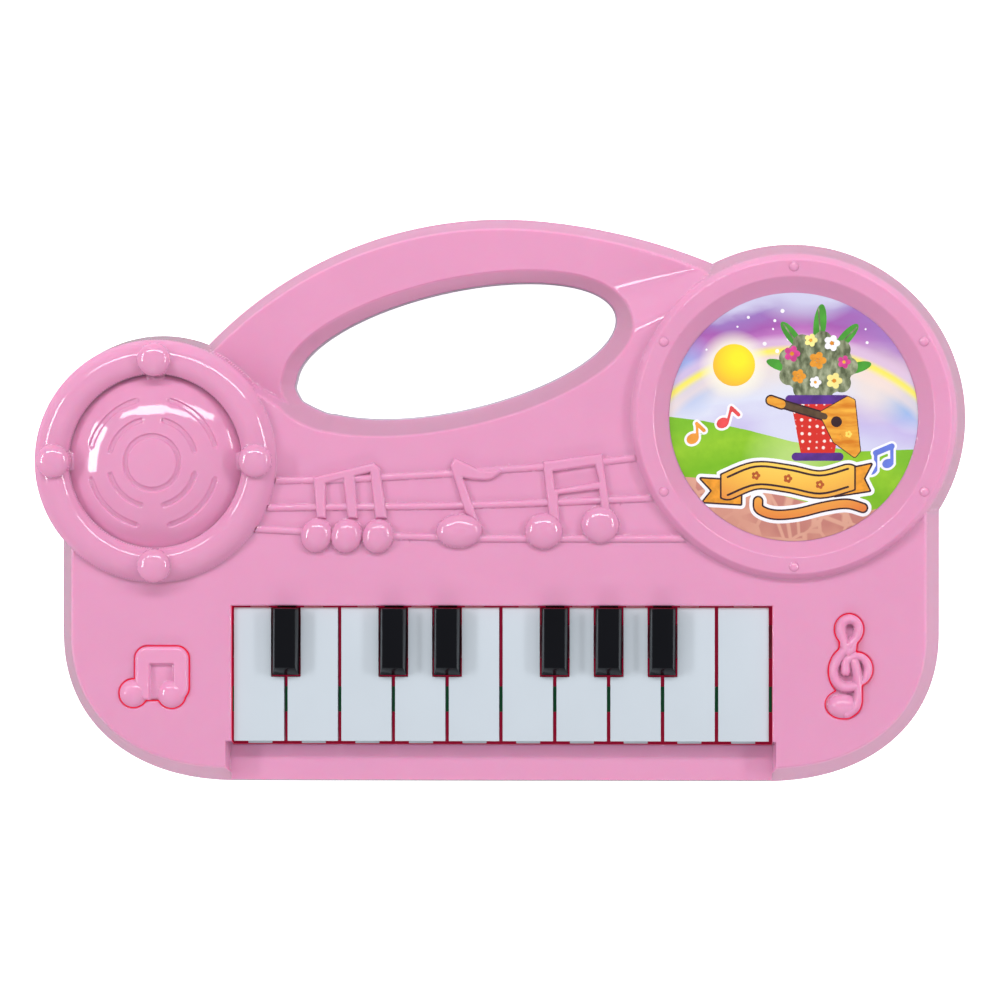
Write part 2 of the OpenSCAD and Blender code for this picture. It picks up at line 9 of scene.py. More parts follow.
import bmesh
import bpy
import numpy as np
from mathutils.geometry import delaunay_2d_cdt
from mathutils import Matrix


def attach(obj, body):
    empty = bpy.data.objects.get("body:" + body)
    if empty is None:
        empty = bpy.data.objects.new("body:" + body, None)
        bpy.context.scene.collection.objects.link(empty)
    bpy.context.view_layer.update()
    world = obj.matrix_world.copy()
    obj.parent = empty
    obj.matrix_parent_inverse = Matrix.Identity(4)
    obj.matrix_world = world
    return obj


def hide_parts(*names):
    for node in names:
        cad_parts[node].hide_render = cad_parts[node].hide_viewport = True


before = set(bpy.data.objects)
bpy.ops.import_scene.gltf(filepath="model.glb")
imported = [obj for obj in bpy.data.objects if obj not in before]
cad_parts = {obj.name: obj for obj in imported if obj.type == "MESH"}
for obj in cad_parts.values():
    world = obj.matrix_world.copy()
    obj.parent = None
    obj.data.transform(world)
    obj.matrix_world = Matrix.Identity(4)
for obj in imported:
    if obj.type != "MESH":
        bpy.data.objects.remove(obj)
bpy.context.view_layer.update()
MM = 0.001


def linked(name, data):
    made = bpy.data.objects.new(name, data)
    bpy.context.collection.objects.link(made)
    return made


# ---- camera and light ----

CAMERA_AT = (40.0, 0.0, 1262.0)
VIEW_WIDTH = 270.6
PARTING_Z = 12.0
SENSOR = 36.0


def make_camera():
    data = bpy.data.cameras.new("camera")
    data.sensor_width = SENSOR
    reach = math.hypot(CAMERA_AT[0], CAMERA_AT[2] - PARTING_Z)
    data.lens = SENSOR * reach / VIEW_WIDTH
    data.clip_end = 20
    camera = linked("camera", data)
    camera.location = [c * MM for c in CAMERA_AT]
    camera.rotation_euler = (0, math.atan2(CAMERA_AT[0], CAMERA_AT[2] - PARTING_Z), 0)
    bpy.context.scene.camera = camera


LIGHT_REACH = 1.2
STRIP_WIDTH = 0.14
TENT_STRENGTH = 0.38


def make_strip(name, lean, turn, length, radiance):
    """A long soft box at `lean` degrees from straight above, towards `turn` degrees from +X."""
    data = bpy.data.lights.new(name, "AREA")
    data.shape = "RECTANGLE"
    data.size = length
    data.size_y = STRIP_WIDTH
    data.energy = radiance * math.pi * length * STRIP_WIDTH
    light = linked(name, data)
    lean, turn = math.radians(lean), math.radians(turn)
    light.location = (LIGHT_REACH * math.sin(lean) * math.cos(turn),
                      LIGHT_REACH * math.sin(lean) * math.sin(turn), LIGHT_REACH * math.cos(lean))
    light.rotation_euler = (lean, 0, turn + math.pi / 2)
    return light


def make_lights():
    make_strip("strip_left", 53, 169, 0.62, 16)
    make_strip("strip_right", 53, 11, 0.62, 15)
    make_strip("strip_back", 38, 90, 1.5, 13)
    make_strip("fill_front", 68, 270, 1.5, 6.5).visible_glossy = False
    world = bpy.data.worlds.new("white_tent")
    world.use_nodes = True
    background = world.node_tree.nodes["Background"]
    background.inputs["Color"].default_value = (1, 1, 1, 1)
    background.inputs["Strength"].default_value = TENT_STRENGTH
    bpy.context.scene.world = world
    bpy.context.scene.view_settings.view_transform = "Standard"


make_camera()
make_lights()


# ---- materials ----

def node_material(name):
    material = bpy.data.materials.new(name)
    material.use_nodes = True
    return material, material.node_tree, material.node_tree.nodes["Principled BSDF"]


def add_noise(tree, scale, detail=3.0, stretch=(1, 1, 1)):
    """Noise in object coordinates, at `scale` cycles a metre."""
    where = tree.nodes.new("ShaderNodeTexCoord")
    mapping = tree.nodes.new("ShaderNodeMapping")
    mapping.inputs["Scale"].default_value = stretch
    noise = tree.nodes.new("ShaderNodeTexNoise")
    noise.inputs["Scale"].default_value = scale
    noise.inputs["Detail"].default_value = detail
    tree.links.new(where.outputs["Object"], mapping.inputs["Vector"])
    tree.links.new(mapping.outputs["Vector"], noise.inputs["Vector"])
    return noise.outputs["Fac"]


def add_ramp(tree, source, stops):
    ramp = tree.nodes.new("ShaderNodeValToRGB")
    while len(ramp.color_ramp.elements) < len(stops):
        ramp.color_ramp.elements.new(0.5)
    for element, (place, colour) in zip(ramp.color_ramp.elements, stops):
        element.position = place
        element.color = (*colour, 1)
    tree.links.new(source, ramp.inputs["Fac"])
    return ramp.outputs["Color"]


def add_bump(tree, source, shader, height, strength=1.0):
    bump = tree.nodes.new("ShaderNodeBump")
    bump.inputs["Distance"].default_value = height
    bump.inputs["Strength"].default_value = strength
    tree.links.new(source, bump.inputs["Height"])
    tree.links.new(bump.outputs["Normal"], shader.inputs["Normal"])


def shade(colour, amount):
    return tuple(min(1.0, c * amount) for c in colour)


def srgb(r, g, b):
    """Linear colour of an 8-bit screen colour."""
    return tuple((c / 255 / 12.92) if c < 11 else ((c / 255 + 0.055) / 1.055) ** 2.4 for c in (r, g, b))


def moulded(name, colour, rough, mottle=0.03, grain=0.00002, metal=0.0, glow=0.0):
    """Injection-moulded plastic or plated metal: faint mottle, uneven gloss and a fine skin."""
    material, tree, shader = node_material(name)
    broad = add_noise(tree, 55, 4)
    tint = add_ramp(tree, broad, [(0.3, shade(colour, 1 - mottle)), (0.7, shade(colour, 1 + mottle))])
    tree.links.new(tint, shader.inputs["Base Color"])
    fine = add_noise(tree, 900, 2)
    gloss = tree.nodes.new("ShaderNodeMapRange")
    gloss.inputs["To Min"].default_value = max(rough - 0.04, 0.02)
    gloss.inputs["To Max"].default_value = rough + 0.04
    tree.links.new(fine, gloss.inputs["Value"])
    tree.links.new(gloss.outputs["Result"], shader.inputs["Roughness"])
    add_bump(tree, add_noise(tree, 420, 2), shader, grain)
    shader.inputs["Metallic"].default_value = metal
    if glow:
        shader.inputs["Subsurface Weight"].default_value = glow
        shader.inputs["Subsurface Radius"].default_value = (1.0, 0.3, 0.5)
        shader.inputs["Subsurface Scale"].default_value = 0.0015
    return material


def painted_glow(material, colour, strength):
    """Painted glow: emission that makes a part that is no lamp give off light of the given colour."""
    shader = material.node_tree.nodes["Principled BSDF"]
    shader.inputs["Emission Color"].default_value = (*colour, 1)
    shader.inputs["Emission Strength"].default_value = strength


pink_plastic = moulded("pink_plastic", srgb(220, 152, 188), 0.06, mottle=0.012, grain=0.000003, glow=0.55)
# Painted shade with painted glow: a deep red that stands for the walls of the key slot and button gaps in deep shade
pink_painted_shade = moulded("pink_painted_shade", srgb(196, 24, 70), 0.4, mottle=0.08)
painted_glow(pink_painted_shade, srgb(190, 8, 48), 0.75)
button_plastic = moulded("pink_button", srgb(225, 154, 191), 0.06, mottle=0.012, grain=0.000003, glow=0.55)
rear_plastic = moulded("rear_grey", srgb(196, 194, 204), 0.32, mottle=0.02)
white_plastic = moulded("key_white", srgb(195, 204, 213), 0.2, mottle=0.015, grain=0.00001)
black_plastic = moulded("key_black", srgb(12, 13, 18), 0.22, mottle=0.08, grain=0.00001)
black_plastic.node_tree.nodes["Principled BSDF"].inputs["Specular IOR Level"].default_value = 0.14
# Painted shade and painted glow: the key frame's dark red stands for pink plastic in the shade under the keys
frame_shade_glow = moulded("frame_painted_shade", srgb(120, 22, 48), 0.5, mottle=0.08)
painted_glow(frame_shade_glow, srgb(150, 12, 48), 0.6)
steel = moulded("plated_steel", (0.62, 0.63, 0.65), 0.28, mottle=0.05, metal=1.0)
rubber = moulded("silicone", srgb(200, 203, 206), 0.5, mottle=0.03, glow=0.3)
board_green = moulded("board_green", srgb(18, 84, 46), 0.35, mottle=0.14)
# Painted glow on the green board.
painted_glow(board_green, srgb(16, 90, 56), 0.35)
epoxy = moulded("chip_epoxy", (0.012, 0.012, 0.014), 0.22, mottle=0.2)
sleeve = moulded("capacitor_sleeve", srgb(28, 34, 92), 0.3, mottle=0.1)
paper = moulded("speaker_paper", (0.02, 0.02, 0.022), 0.85, mottle=0.25, grain=0.00012)
clamp_white = moulded("clamp_white", srgb(216, 216, 212), 0.45, mottle=0.03)
wire_red = moulded("wire_red", srgb(178, 30, 34), 0.4, mottle=0.06)


# ---- smooth height fields ----

def smooth_min(a, b, k):
    t = np.clip(0.5 + 0.5 * (b - a) / k, 0, 1)
    return b + (a - b) * t - k * t * (1 - t)


def smooth_max(a, b, k):
    return -smooth_min(-a, -b, k)


def ease(t):
    t = np.clip(t, 0, 1)
    return t * t * (3 - 2 * t)


def segment_distance(x, y, a, b):
    ax, ay, dx, dy = a[0], a[1], b[0] - a[0], b[1] - a[1]
    t = np.clip(((x - ax) * dx + (y - ay) * dy) / (dx * dx + dy * dy), 0, 1)
    return np.hypot(x - ax - t * dx, y - ay - t * dy)


def line_distance(x, y, points):
    return np.minimum.reduce([segment_distance(x, y, a, b) for a, b in zip(points, points[1:])])


def polygon_depth(x, y, points):
    """Distance inside a closed outline, negative outside."""
    inside = np.zeros(np.shape(x), bool)
    for (ax, ay), (bx, by) in zip(points, np.roll(points, -1, axis=0)):
        cross = (ay > y) != (by > y)
        slope = (bx - ax) / (by - ay) if by != ay else 0.0
        inside ^= cross & (x < ax + (y - ay) * slope)
    loop = list(points) + [points[0]]
    return np.where(inside, 1, -1) * line_distance(x, y, loop)


def ellipse_depth(x, y, at, axes, tilt=0.0):
    """About the distance inside an ellipse, negative outside."""
    c, s = math.cos(math.radians(tilt)), math.sin(math.radians(tilt))
    u = (x - at[0]) * c + (y - at[1]) * s
    v = (y - at[1]) * c - (x - at[0]) * s
    q = np.maximum(np.hypot(u / axes[0], v / axes[1]), 1e-6)
    return (1 - q) * q / np.hypot(u / axes[0] ** 2, v / axes[1] ** 2).clip(1e-9)


def contours(depth, low, high, step, spacing):
    """Closed loops along depth(x, y) = 0, with a point about every `spacing`."""
    xs = np.arange(low[0], high[0] + step, step)
    ys = np.arange(low[1], high[1] + step, step)
    field = depth(*np.meshgrid(xs, ys, indexing="ij")) > 0
    link = {}
    for i, j in np.argwhere((field[:-1, :-1] != field[1:, :-1]) | (field[:-1, :-1] != field[:-1, 1:])
                            | (field[:-1, :-1] != field[1:, 1:])):
        corners = [(i, j), (i + 1, j), (i + 1, j + 1), (i, j + 1)]
        cuts = [frozenset((corners[k], corners[(k + 1) % 4])) for k in range(4)
                if field[corners[k]] != field[corners[(k + 1) % 4]]]
        for a, b in zip(cuts[::2], cuts[1::2]):
            link.setdefault(a, []).append(b)
            link.setdefault(b, []).append(a)
    loops = []
    while link:
        start = min(link, key=lambda cut: sorted(cut))
        chain, here = [start], start
        while True:
            ways = link.pop(here, [])
            here = next((w for w in ways if w in link), None)
            if here is None:
                break
            chain.append(here)
        middle = np.array([[(xs[a[0]] + xs[b[0]]) / 2, (ys[a[1]] + ys[b[1]]) / 2] for a, b in map(tuple, chain)])
        if len(middle) > 5:
            loops.append(even_loop(settle(middle, depth), depth, spacing))
    return loops


def settle(points, depth, level=0.0):
    """Moves points along the slope of depth onto depth = level."""
    e = 0.01
    x, y = points[:, 0].copy(), points[:, 1].copy()
    for _ in range(8):
        gx = (depth(x + e, y) - depth(x - e, y)) / (2 * e)
        gy = (depth(x, y + e) - depth(x, y - e)) / (2 * e)
        pull = np.clip((level - depth(x, y)) / np.maximum(gx * gx + gy * gy, 0.05), -1.5, 1.5)
        x += gx * pull
        y += gy * pull
    return np.stack([x, y], 1)


def even_loop(points, depth, spacing):
    closed = np.vstack([points, points[:1]])
    along = np.concatenate([[0], np.cumsum(np.hypot(*np.diff(closed, axis=0).T))])
    count = max(int(along[-1] / spacing), 8)
    at = np.arange(count) * along[-1] / count
    even = np.stack([np.interp(at, along, closed[:, k]) for k in range(2)], 1)
    return settle(even, depth)


SHARP = math.cos(math.radians(20))


def with_corners(loop, depth):
    """The loop with a point put in at each sharp corner, where the tangents on both sides of it meet."""
    e = 0.01
    x, y = loop.T
    n = np.stack([depth(x + e, y) - depth(x - e, y), depth(x, y + e) - depth(x, y - e)], 1)
    n /= np.linalg.norm(n, axis=1)[:, None]
    points = []
    for a, b, na, nb in zip(loop, np.roll(loop, -1, axis=0), n, np.roll(n, -1, axis=0)):
        points.append(a)
        if na @ nb < SHARP:
            points.append(np.linalg.solve([na, nb], [na @ a, nb @ b]))
    return np.array(points)


def rings(loops, depth, levels):
    """The loops moved inwards to each depth."""
    return [settle(loop, depth, level) for loop in loops for level in levels]


def circle_points(at, radius, count, start=0.0):
    a = start + np.arange(count) * 2 * math.pi / count
    return np.stack([at[0] + radius * np.cos(a), at[1] + radius * np.sin(a)], 1)


def grid_points(low, high, step):
    x, y = np.meshgrid(np.arange(low[0], high[0], step), np.arange(low[1], high[1], step), indexing="ij")
    return np.stack([x.ravel(), y.ravel()], 1)


def path_points(points, spacing, offsets):
    """Points beside an open path, at each offset to its left."""
    points = np.array(points, float)
    along = np.concatenate([[0], np.cumsum(np.hypot(*np.diff(points, axis=0).T))])
    at = np.linspace(0, along[-1], max(int(along[-1] / spacing), 2) + 1)
    line = np.stack([np.interp(at, along, points[:, k]) for k in range(2)], 1)
    way = np.gradient(line, axis=0)
    way /= np.hypot(*way.T)[:, None]
    side = np.stack([-way[:, 1], way[:, 0]], 1)
    return np.vstack([line + side * d for d in offsets])


# ---- a moulded sheet: outer skin from a height field, inner skin, and rims ----

WALL = 1.9
THIN = 0.5
SLOPE_STEP = 0.02
NEAR = 0.05


def surface_normals(height, x, y, up):
    e = SLOPE_STEP
    gx = (height(x + e, y) - height(x - e, y)) / (2 * e)
    gy = (height(x, y + e) - height(x, y - e)) / (2 * e)
    n = np.stack([-gx, -gy, np.ones_like(gx)], 1) * up
    return n / np.linalg.norm(n, axis=1)[:, None]


def thin_out(points, taken):
    """Drops points that fall on one another, or on the loops."""
    seen = {tuple(p) for p in np.round(taken / NEAR).astype(int)}
    kept = []
    for p, key in zip(points, map(tuple, np.round(points / NEAR).astype(int))):
        if key not in seen:
            seen.add(key)
            kept.append(p)
    return np.array(kept)


def triangulated(loops, cloud, merge):
    """Places, triangles that keep to the loops, and the points that each place came from."""
    edges, start = [], 0
    for loop in loops:
        edges += [(start + k, start + (k + 1) % len(loop)) for k in range(len(loop))]
        start += len(loop)
    points = [tuple(p) for p in np.vstack([*loops, cloud])]
    flat, _, faces, origin, _, _ = delaunay_2d_cdt(points, edges, [], 0, merge)
    return np.array([[v.x, v.y] for v in flat]), np.array([f for f in faces if len(f) == 3]), origin


def face_up(xy, tri, up):
    """Turns every triangle to face up (1) or down (-1)."""
    a, b, c = (xy[tri[:, k]] for k in range(3))
    turn = (b - a)[:, 0] * (c - a)[:, 1] - (b - a)[:, 1] * (c - a)[:, 0]
    tri[turn * up < 0] = tri[turn * up < 0][:, ::-1]


def border_of(tri):
    """The edges that belong to one triangle only, in its direction."""
    directed = np.vstack([tri[:, [0, 1]], tri[:, [1, 2]], tri[:, [2, 0]]])
    _, where, count = np.unique(np.sort(directed, axis=1), axis=0, return_index=True, return_counts=True)
    return directed[where[count == 1]]


def side_quads(border, n):
    """Quads down from a border to the second skin, whose points come n later."""
    return np.column_stack([border[:, 1], border[:, 0], border[:, 0] + n, border[:, 1] + n])


def moulded_sheet(name, loops, feet, samples, inside, height, core, up, materials):
    """loops bound the sheet. feet[i] is the z of the inner rim of loop i, or None where both skins meet at the
    parting line. height is the outer skin, and core a plainer height field that the inner skin follows. A second
    material, the painted shade, goes on the rims that have feet."""
    rim = np.vstack(loops)
    owner = np.concatenate([np.full(len(loop), i) for i, loop in enumerate(loops)])
    cloud = np.vstack(samples)
    cloud = cloud[inside(cloud[:, 0], cloud[:, 1]) > NEAR]
    xy, tri, origin = triangulated(loops, thin_out(cloud, rim), 1e-5)
    middle = xy[tri].mean(1)
    tri = tri[inside(middle[:, 0], middle[:, 1]) > 0]
    used = np.unique(tri)
    fresh = np.full(len(xy), -1)
    fresh[used] = np.arange(len(used))
    tri = fresh[tri]
    origin = [origin[i] for i in used]
    xy = xy[used]
    face_up(xy, tri, up)

    x, y = xy.T
    normal = surface_normals(height, x, y, up)
    core_normal = surface_normals(core, x, y, up)
    outer = np.column_stack([x, y, height(x, y)])
    inner = np.column_stack([x, y, core(x, y)]) - WALL * core_normal
    edge_of = [next((owner[i] for i in o if i < len(rim)), -1) for o in origin]
    for k, loop in enumerate(edge_of):
        if loop >= 0 and feet[loop] is None:
            outer[k, 2] = inner[k, 2] = PARTING_Z
        elif loop >= 0:
            foot = feet[loop]
            inner[k] = (x[k], y[k], foot(x[k], y[k]) if callable(foot) else foot)
    free = np.array(edge_of) < 0
    over = np.minimum(up * height(inner[:, 0], inner[:, 1]), up * outer[:, 2]) - THIN
    inner[free, 2] = up * np.minimum(up * inner[:, 2], over)[free]
    n = len(xy)
    border = border_of(tri)
    quads = side_quads(border, n)

    mesh = bpy.data.meshes.new(name)
    faces = tri.tolist() + (tri[:, ::-1] + n).tolist() + quads.tolist()
    points = np.vstack([outer, inner])
    mesh.from_pydata((points * MM).tolist(), [], faces)
    mesh.update()
    mesh.shade_smooth()
    corner = np.concatenate([normal[tri.ravel()], -core_normal[tri[:, ::-1].ravel()],
                             np.repeat(quad_normals(points, quads), 4, axis=0)])
    mesh.normals_split_custom_set(corner.tolist())
    for material in materials:
        mesh.materials.append(material)
    if len(materials) > 1:
        # The rims that have feet take the painted shade.
        painted_shade_rims = np.array([feet[k] is not None for k in np.array(edge_of)[border[:, 0]]])
        slots = np.concatenate([np.zeros(2 * len(tri), int), painted_shade_rims.astype(int)])
        mesh.polygons.foreach_set("material_index", slots.tolist())
    return linked(name, mesh)


def quad_normals(points, quads):
    n = np.cross(points[quads[:, 2]] - points[quads[:, 0]], points[quads[:, 3]] - points[quads[:, 1]])
    return n / np.linalg.norm(n, axis=1)[:, None].clip(1e-9)


# ---- front shell ----

DECK_Z = 32.0
HANDLE_Z = 24.0
SILL_Z = 25.0
BODY_HALF = 118.5
CORNER = (70.0, -35.0)
FRONT_Y = -76.0
CORNER_POWER = 2.25
BODY_SLOPE = 4.26
HANDLE_SLOPE = 3.7
ARCH_LEFT = (0.3, -34.0, 109.9)
ARCH_RIGHT = (-4.36, -86.5, 162.6)
ARCH_JOIN = math.radians(84.93)
HANDLE_FROM_Y = 25.0
SPEAKER_AT = (-91.4, 10.4)
SPEAKER_R = 34.1
BADGE_AT = (78.7, 22.1)
BADGE_R = 46.9
OPENING_AT = (-11.8, 40.2)
OPENING_AXES = (44.35, 16.24)
OPENING_TILT = 12.6
OPENING_CORNER = [(-54.0, 30.5), (-52.6, 27.8), (-46.0, 24.9), (-30.0, 30.0), (-30.0, 38.0)]
OPENING_CORNER_R = 1.5
SLOT = (-71.1, 73.1, -65.4, -28.2)
SILL = (-72.0, 73.4)
SILL_SLOPE = 12.0


def body_depth(x, y):
    p = CORNER_POWER
    half = (BODY_HALF - CORNER[0], CORNER[1] - FRONT_Y)
    u = np.maximum(np.abs(x) - CORNER[0], 1e-6) / half[0]
    v = np.maximum(CORNER[1] - y, 1e-6) / half[1]
    q = (u ** p + v ** p) ** (1 / p)
    slope = q ** (1 - p) * np.hypot(u ** (p - 1) / half[0], v ** (p - 1) / half[1])
    return np.minimum((1 - q) / slope.clip(1e-9), half[1])


def handle_depth(x, y):
    left = ARCH_LEFT[2] - np.hypot(x - ARCH_LEFT[0], y - ARCH_LEFT[1])
    right = ARCH_RIGHT[2] - np.hypot(x - ARCH_RIGHT[0], y - ARCH_RIGHT[1])
    east = (x - ARCH_RIGHT[0]) * math.sin(ARCH_JOIN) - (y - ARCH_RIGHT[1]) * math.cos(ARCH_JOIN) > 0
    return np.where(east, right, left)


def base_depth(x, y):
    return np.where(y > HANDLE_FROM_Y, handle_depth(x, y), body_depth(x, y))


def from_speaker(x, y):
    return np.hypot(x - SPEAKER_AT[0], y - SPEAKER_AT[1])


def from_badge(x, y):
    return np.hypot(x - BADGE_AT[0], y - BADGE_AT[1])


def case_depth(x, y):
    return np.maximum.reduce([base_depth(x, y), SPEAKER_R - from_speaker(x, y), BADGE_R - from_badge(x, y)])


def opening_depth(x, y):
    corner = polygon_depth(x, y, np.array(OPENING_CORNER)) + OPENING_CORNER_R
    return smooth_max(ellipse_depth(x, y, OPENING_AT, OPENING_AXES, OPENING_TILT), corner, 1.2)


def roof(x, y):
    """Deck at 32, handle at 24, and the falls between them at both ends of the finger opening."""
    by_speaker = 0.509 * (x + 63.6) + 0.861 * (y - 27.8)
    under_opening = (-15.5 * (x + 48.0) + 36.0 * (y - 22.5)) / 39.2
    fall = smooth_min(by_speaker, under_opening, 2.5)
    left = smooth_max(HANDLE_Z + 0 * x, smooth_min(DECK_Z + 0 * x, DECK_Z - BODY_SLOPE * fall, 1.6), 1.2)
    across = -0.33 * (x - 33.0) + 0.944 * (y - 50.5)
    half = 9.0 - 5.0 * np.clip((x - 33.0) / 24.0, 0, 1)
    right = HANDLE_Z + (DECK_Z - HANDLE_Z) * (1 - ease((across + half) / (2 * half)))
    return np.where(x < -12.0, left, right)


DOME_R = 43.0
DOME_TOP = 38.5
DISH_R = 23.15
BEAD = (26.8, 31.0, 5.2, 4.4, 5.75)
GROOVE_MIDDLE = (-91.7, 9.9)
GROOVES = [(7.15, 0.0, 0.6), (11.65, 29.0, 0.65), (17.1, 29.0, 0.65)]
GROOVE_DEEP = 0.65
BOSSES = [(27.0, 0), (27.0, 90), (27.0, 180), (27.9, 270)]
BOSS_R = 4.4
BOSS_Z = 36.8
BOSS_CROWN = 2.2
BOSS_FALL = 90


def dish_height(x, y, r):
    z = DOME_TOP - DOME_R + np.sqrt(DOME_R ** 2 - np.minimum(r, 30.0) ** 2)
    turn = np.degrees(np.arctan2(y - GROOVE_MIDDLE[1], x - GROOVE_MIDDLE[0])) % 90 - 45
    out = np.hypot(x - GROOVE_MIDDLE[0], y - GROOVE_MIDDLE[1])
    for radius, reach, half in GROOVES:
        past = np.maximum(np.abs(turn) - reach, 0) if reach else 0 * turn
        d = np.hypot(out - radius, np.radians(past) * radius)
        z = z - GROOVE_DEEP * (1 - ease((d - half + 0.3) / 0.6))
    return z


def bead_height(r):
    middle, foot, rise, inner, outer = BEAD
    t = np.where(r < middle, (middle - r) / inner, (r - middle) / outer)
    return foot + rise * np.sqrt(np.clip(1 - t * t, 0, 1))


def speaker_height(x, y, base):
    r = from_speaker(x, y)
    wall = np.clip((r - DISH_R) / 0.25, 0, 1)
    inner = dish_height(x, y, r) * (1 - wall) + bead_height(r) * wall
    cone = DECK_Z + 0.3 - (r - 32.35) * (DECK_Z + 0.3 - PARTING_Z) / (SPEAKER_R - 32.35)
    outer = np.where(r < SPEAKER_R + 0.5, smooth_min(bead_height(r), cone, 0.5), 0)
    z = np.where(r < BEAD[0], inner, smooth_max(base, outer, 0.4))
    for orbit, turn in BOSSES:
        a = math.radians(turn)
        d = np.hypot(x - SPEAKER_AT[0] - orbit * math.cos(a), y - SPEAKER_AT[1] - orbit * math.sin(a))
        ball = BOSS_Z + BOSS_CROWN * np.sqrt(np.clip(1 - (d / BOSS_R) ** 2, 0, 1))
        ball = ball - BOSS_FALL * np.maximum(d / BOSS_R - 1, 0)
        z = np.where(d < BOSS_R + 0.5, smooth_max(z, ball, 0.6), z)
    return z


BADGE_PROFILE = [(0, 31), (33.1, 31), (37.3, 34.9), (41.7, 35.2), (43.3, 32), (46.9, 12), (50, -5)]
RIVET_ORBIT = 39.8
RIVET_R = 1.25


def badge_height(x, y, base):
    r = from_badge(x, y)
    at, z = zip(*BADGE_PROFILE)
    profile = sum(np.interp(r + d, at, z) for d in (-0.24, -0.12, 0, 0.12, 0.24)) / 5
    for k in range(6):
        a = math.radians(30 + 60 * k)
        d = np.hypot(x - BADGE_AT[0] - RIVET_ORBIT * math.cos(a), y - BADGE_AT[1] - RIVET_ORBIT * math.sin(a))
        profile = profile + 0.65 * np.sqrt(np.clip(1 - (d / RIVET_R) ** 2, 0, 1))
    return np.where(r < 39.0, profile, smooth_max(base, profile, 0.35))


# Raised staff (paths), note stems and beams (outlines) and note heads (middle, axes, tilt)
STAFF = [[(-67, 5.1), (-40, 5.5), (-14, 6.95), (1.5, 8.1), (22, 9.5), (37, 11.2)],
         [(-64, -2.1), (-12, -1.55), (13, -0.75), (41, 0.5)],
         [(-67, -7.6), (-28, -9.6), (-4, -10.3), (50, -10.3)]]
STAFF_HALF = 0.95
STAFF_RISE = 0.85
NOTE_BARS = [[(-49.2, 6.1), (-32.9, 10.0), (-31.3, 8.5), (-29.3, -5.0), (-32.6, -5.0), (-34.0, 7.3), (-37.9, 6.3),
              (-37.2, -5.0), (-40.0, -5.0), (-41.2, 5.5), (-45.7, 4.3), (-45.7, -5.0), (-48.3, -5.0)],
             [(-11.55, 11.3), (-8.2, 9.8), (-5.1, 8.2), (-2.4, 7.8), (0.75, 8.5), (1.3, 7.5), (-1.2, 5.6),
              (-3.2, 5.15), (-6.3, 5.35), (-9.1, 5.8), (-4.7, -6.4), (-8.6, -3.6), (-12.7, 9.1)],
             [(12.0, 10.24), (27.9, 12.4), (30.1, -3.0), (27.6, -3.0), (26.9, 2.8), (16.2, 1.45), (16.6, -6.2),
              (13.6, -4.0)],
             [(14.8, 7.5), (25.95, 9.15), (27.0, 4.9), (15.4, 2.9)]]
NOTE_RISE = 1.35
HEAD_STEP = 0.4
HEAD_DOME = 2.7
NOTE_HEADS = [((-48.3, -9.4), (4.2, 4.7), -20), ((-40.3, -9.5), (4.2, 4.7), -20),
              ((-31.9, -9.6), (4.2, 4.7), -20), ((-10.2, -8.25), (6.2, 4.55), 4),
              ((12.3, -8.3), (5.05, 4.85), 0), ((27.3, -6.6), (5.05, 4.95), 0)]
RELIEF_BOX = (-70, 52, -16, 15)


def bars_depth(x, y):
    """The last outline is the window between the two beams of the last note."""
    d = np.maximum.reduce([polygon_depth(x, y, np.array(points)) for points in NOTE_BARS[:-1]])
    return np.minimum(d, -polygon_depth(x, y, np.array(NOTE_BARS[-1])))


def relief(x, y):
    near = (x > RELIEF_BOX[0]) & (x < RELIEF_BOX[1]) & (y > RELIEF_BOX[2]) & (y < RELIEF_BOX[3])
    near &= (from_speaker(x, y) > 32.5) & (from_badge(x, y) > 43.6)
    out = np.zeros(np.shape(x))
    x, y = np.asarray(x)[near], np.asarray(y)[near]
    z = np.zeros(x.shape)
    for path in STAFF:
        d = line_distance(x, y, path) / STAFF_HALF
        z = np.maximum(z, STAFF_RISE * np.sqrt(np.clip(1 - d * d, 0, 1)))
    z = np.maximum(z, NOTE_RISE - edge_drop(bars_depth(x, y) / 0.75, 1.0) * NOTE_RISE)
    for at, axes, tilt in NOTE_HEADS:
        q = 1 - ellipse_depth(x, y, at, axes, tilt) / min(axes)
        head = HEAD_STEP * ease((1 - q) / 0.09) + HEAD_DOME * np.sqrt(np.clip(1 - q * q, 0, 1))
        z = np.maximum(z, np.where(q < 1, head, 0))
    out[near] = z
    return out


def slot_distance(x, y):
    """Distance outside the key slot."""
    dx = np.maximum(SLOT[0] - x, x - SLOT[1])
    dy = np.maximum(SLOT[2] - y, y - SLOT[3])
    return np.hypot(np.maximum(dx, 0), np.maximum(dy, 0)) + np.minimum(np.maximum(dx, dy), 0)


def edge_drop(distance, radius):
    t = np.clip(1 - distance / radius, 0, 1)
    return radius * (1 - np.sqrt(1 - t * t))


def core_height(x, y):
    """The case without its small features."""
    slope = np.where(y > HANDLE_FROM_Y, HANDLE_SLOPE, BODY_SLOPE)
    z = smooth_min(roof(x, y), PARTING_Z + slope * base_depth(x, y), 1.8)
    beside = np.maximum.reduce([SILL[0] - x, x - SILL[1], y - SLOT[2] - 0.4])
    z = smooth_min(z, smooth_max(SILL_Z + 0 * x, SILL_Z + 10 * beside, 0.5), 0.7)
    z = np.maximum(z, np.minimum(DECK_Z, PARTING_Z + 11 * (SPEAKER_R - from_speaker(x, y))))
    z = np.maximum(z, np.minimum(31.0, PARTING_Z + 5.5 * (BADGE_R - from_badge(x, y))))
    return smooth_min(z, PARTING_Z - 4.3 * opening_depth(x, y), 1.7)


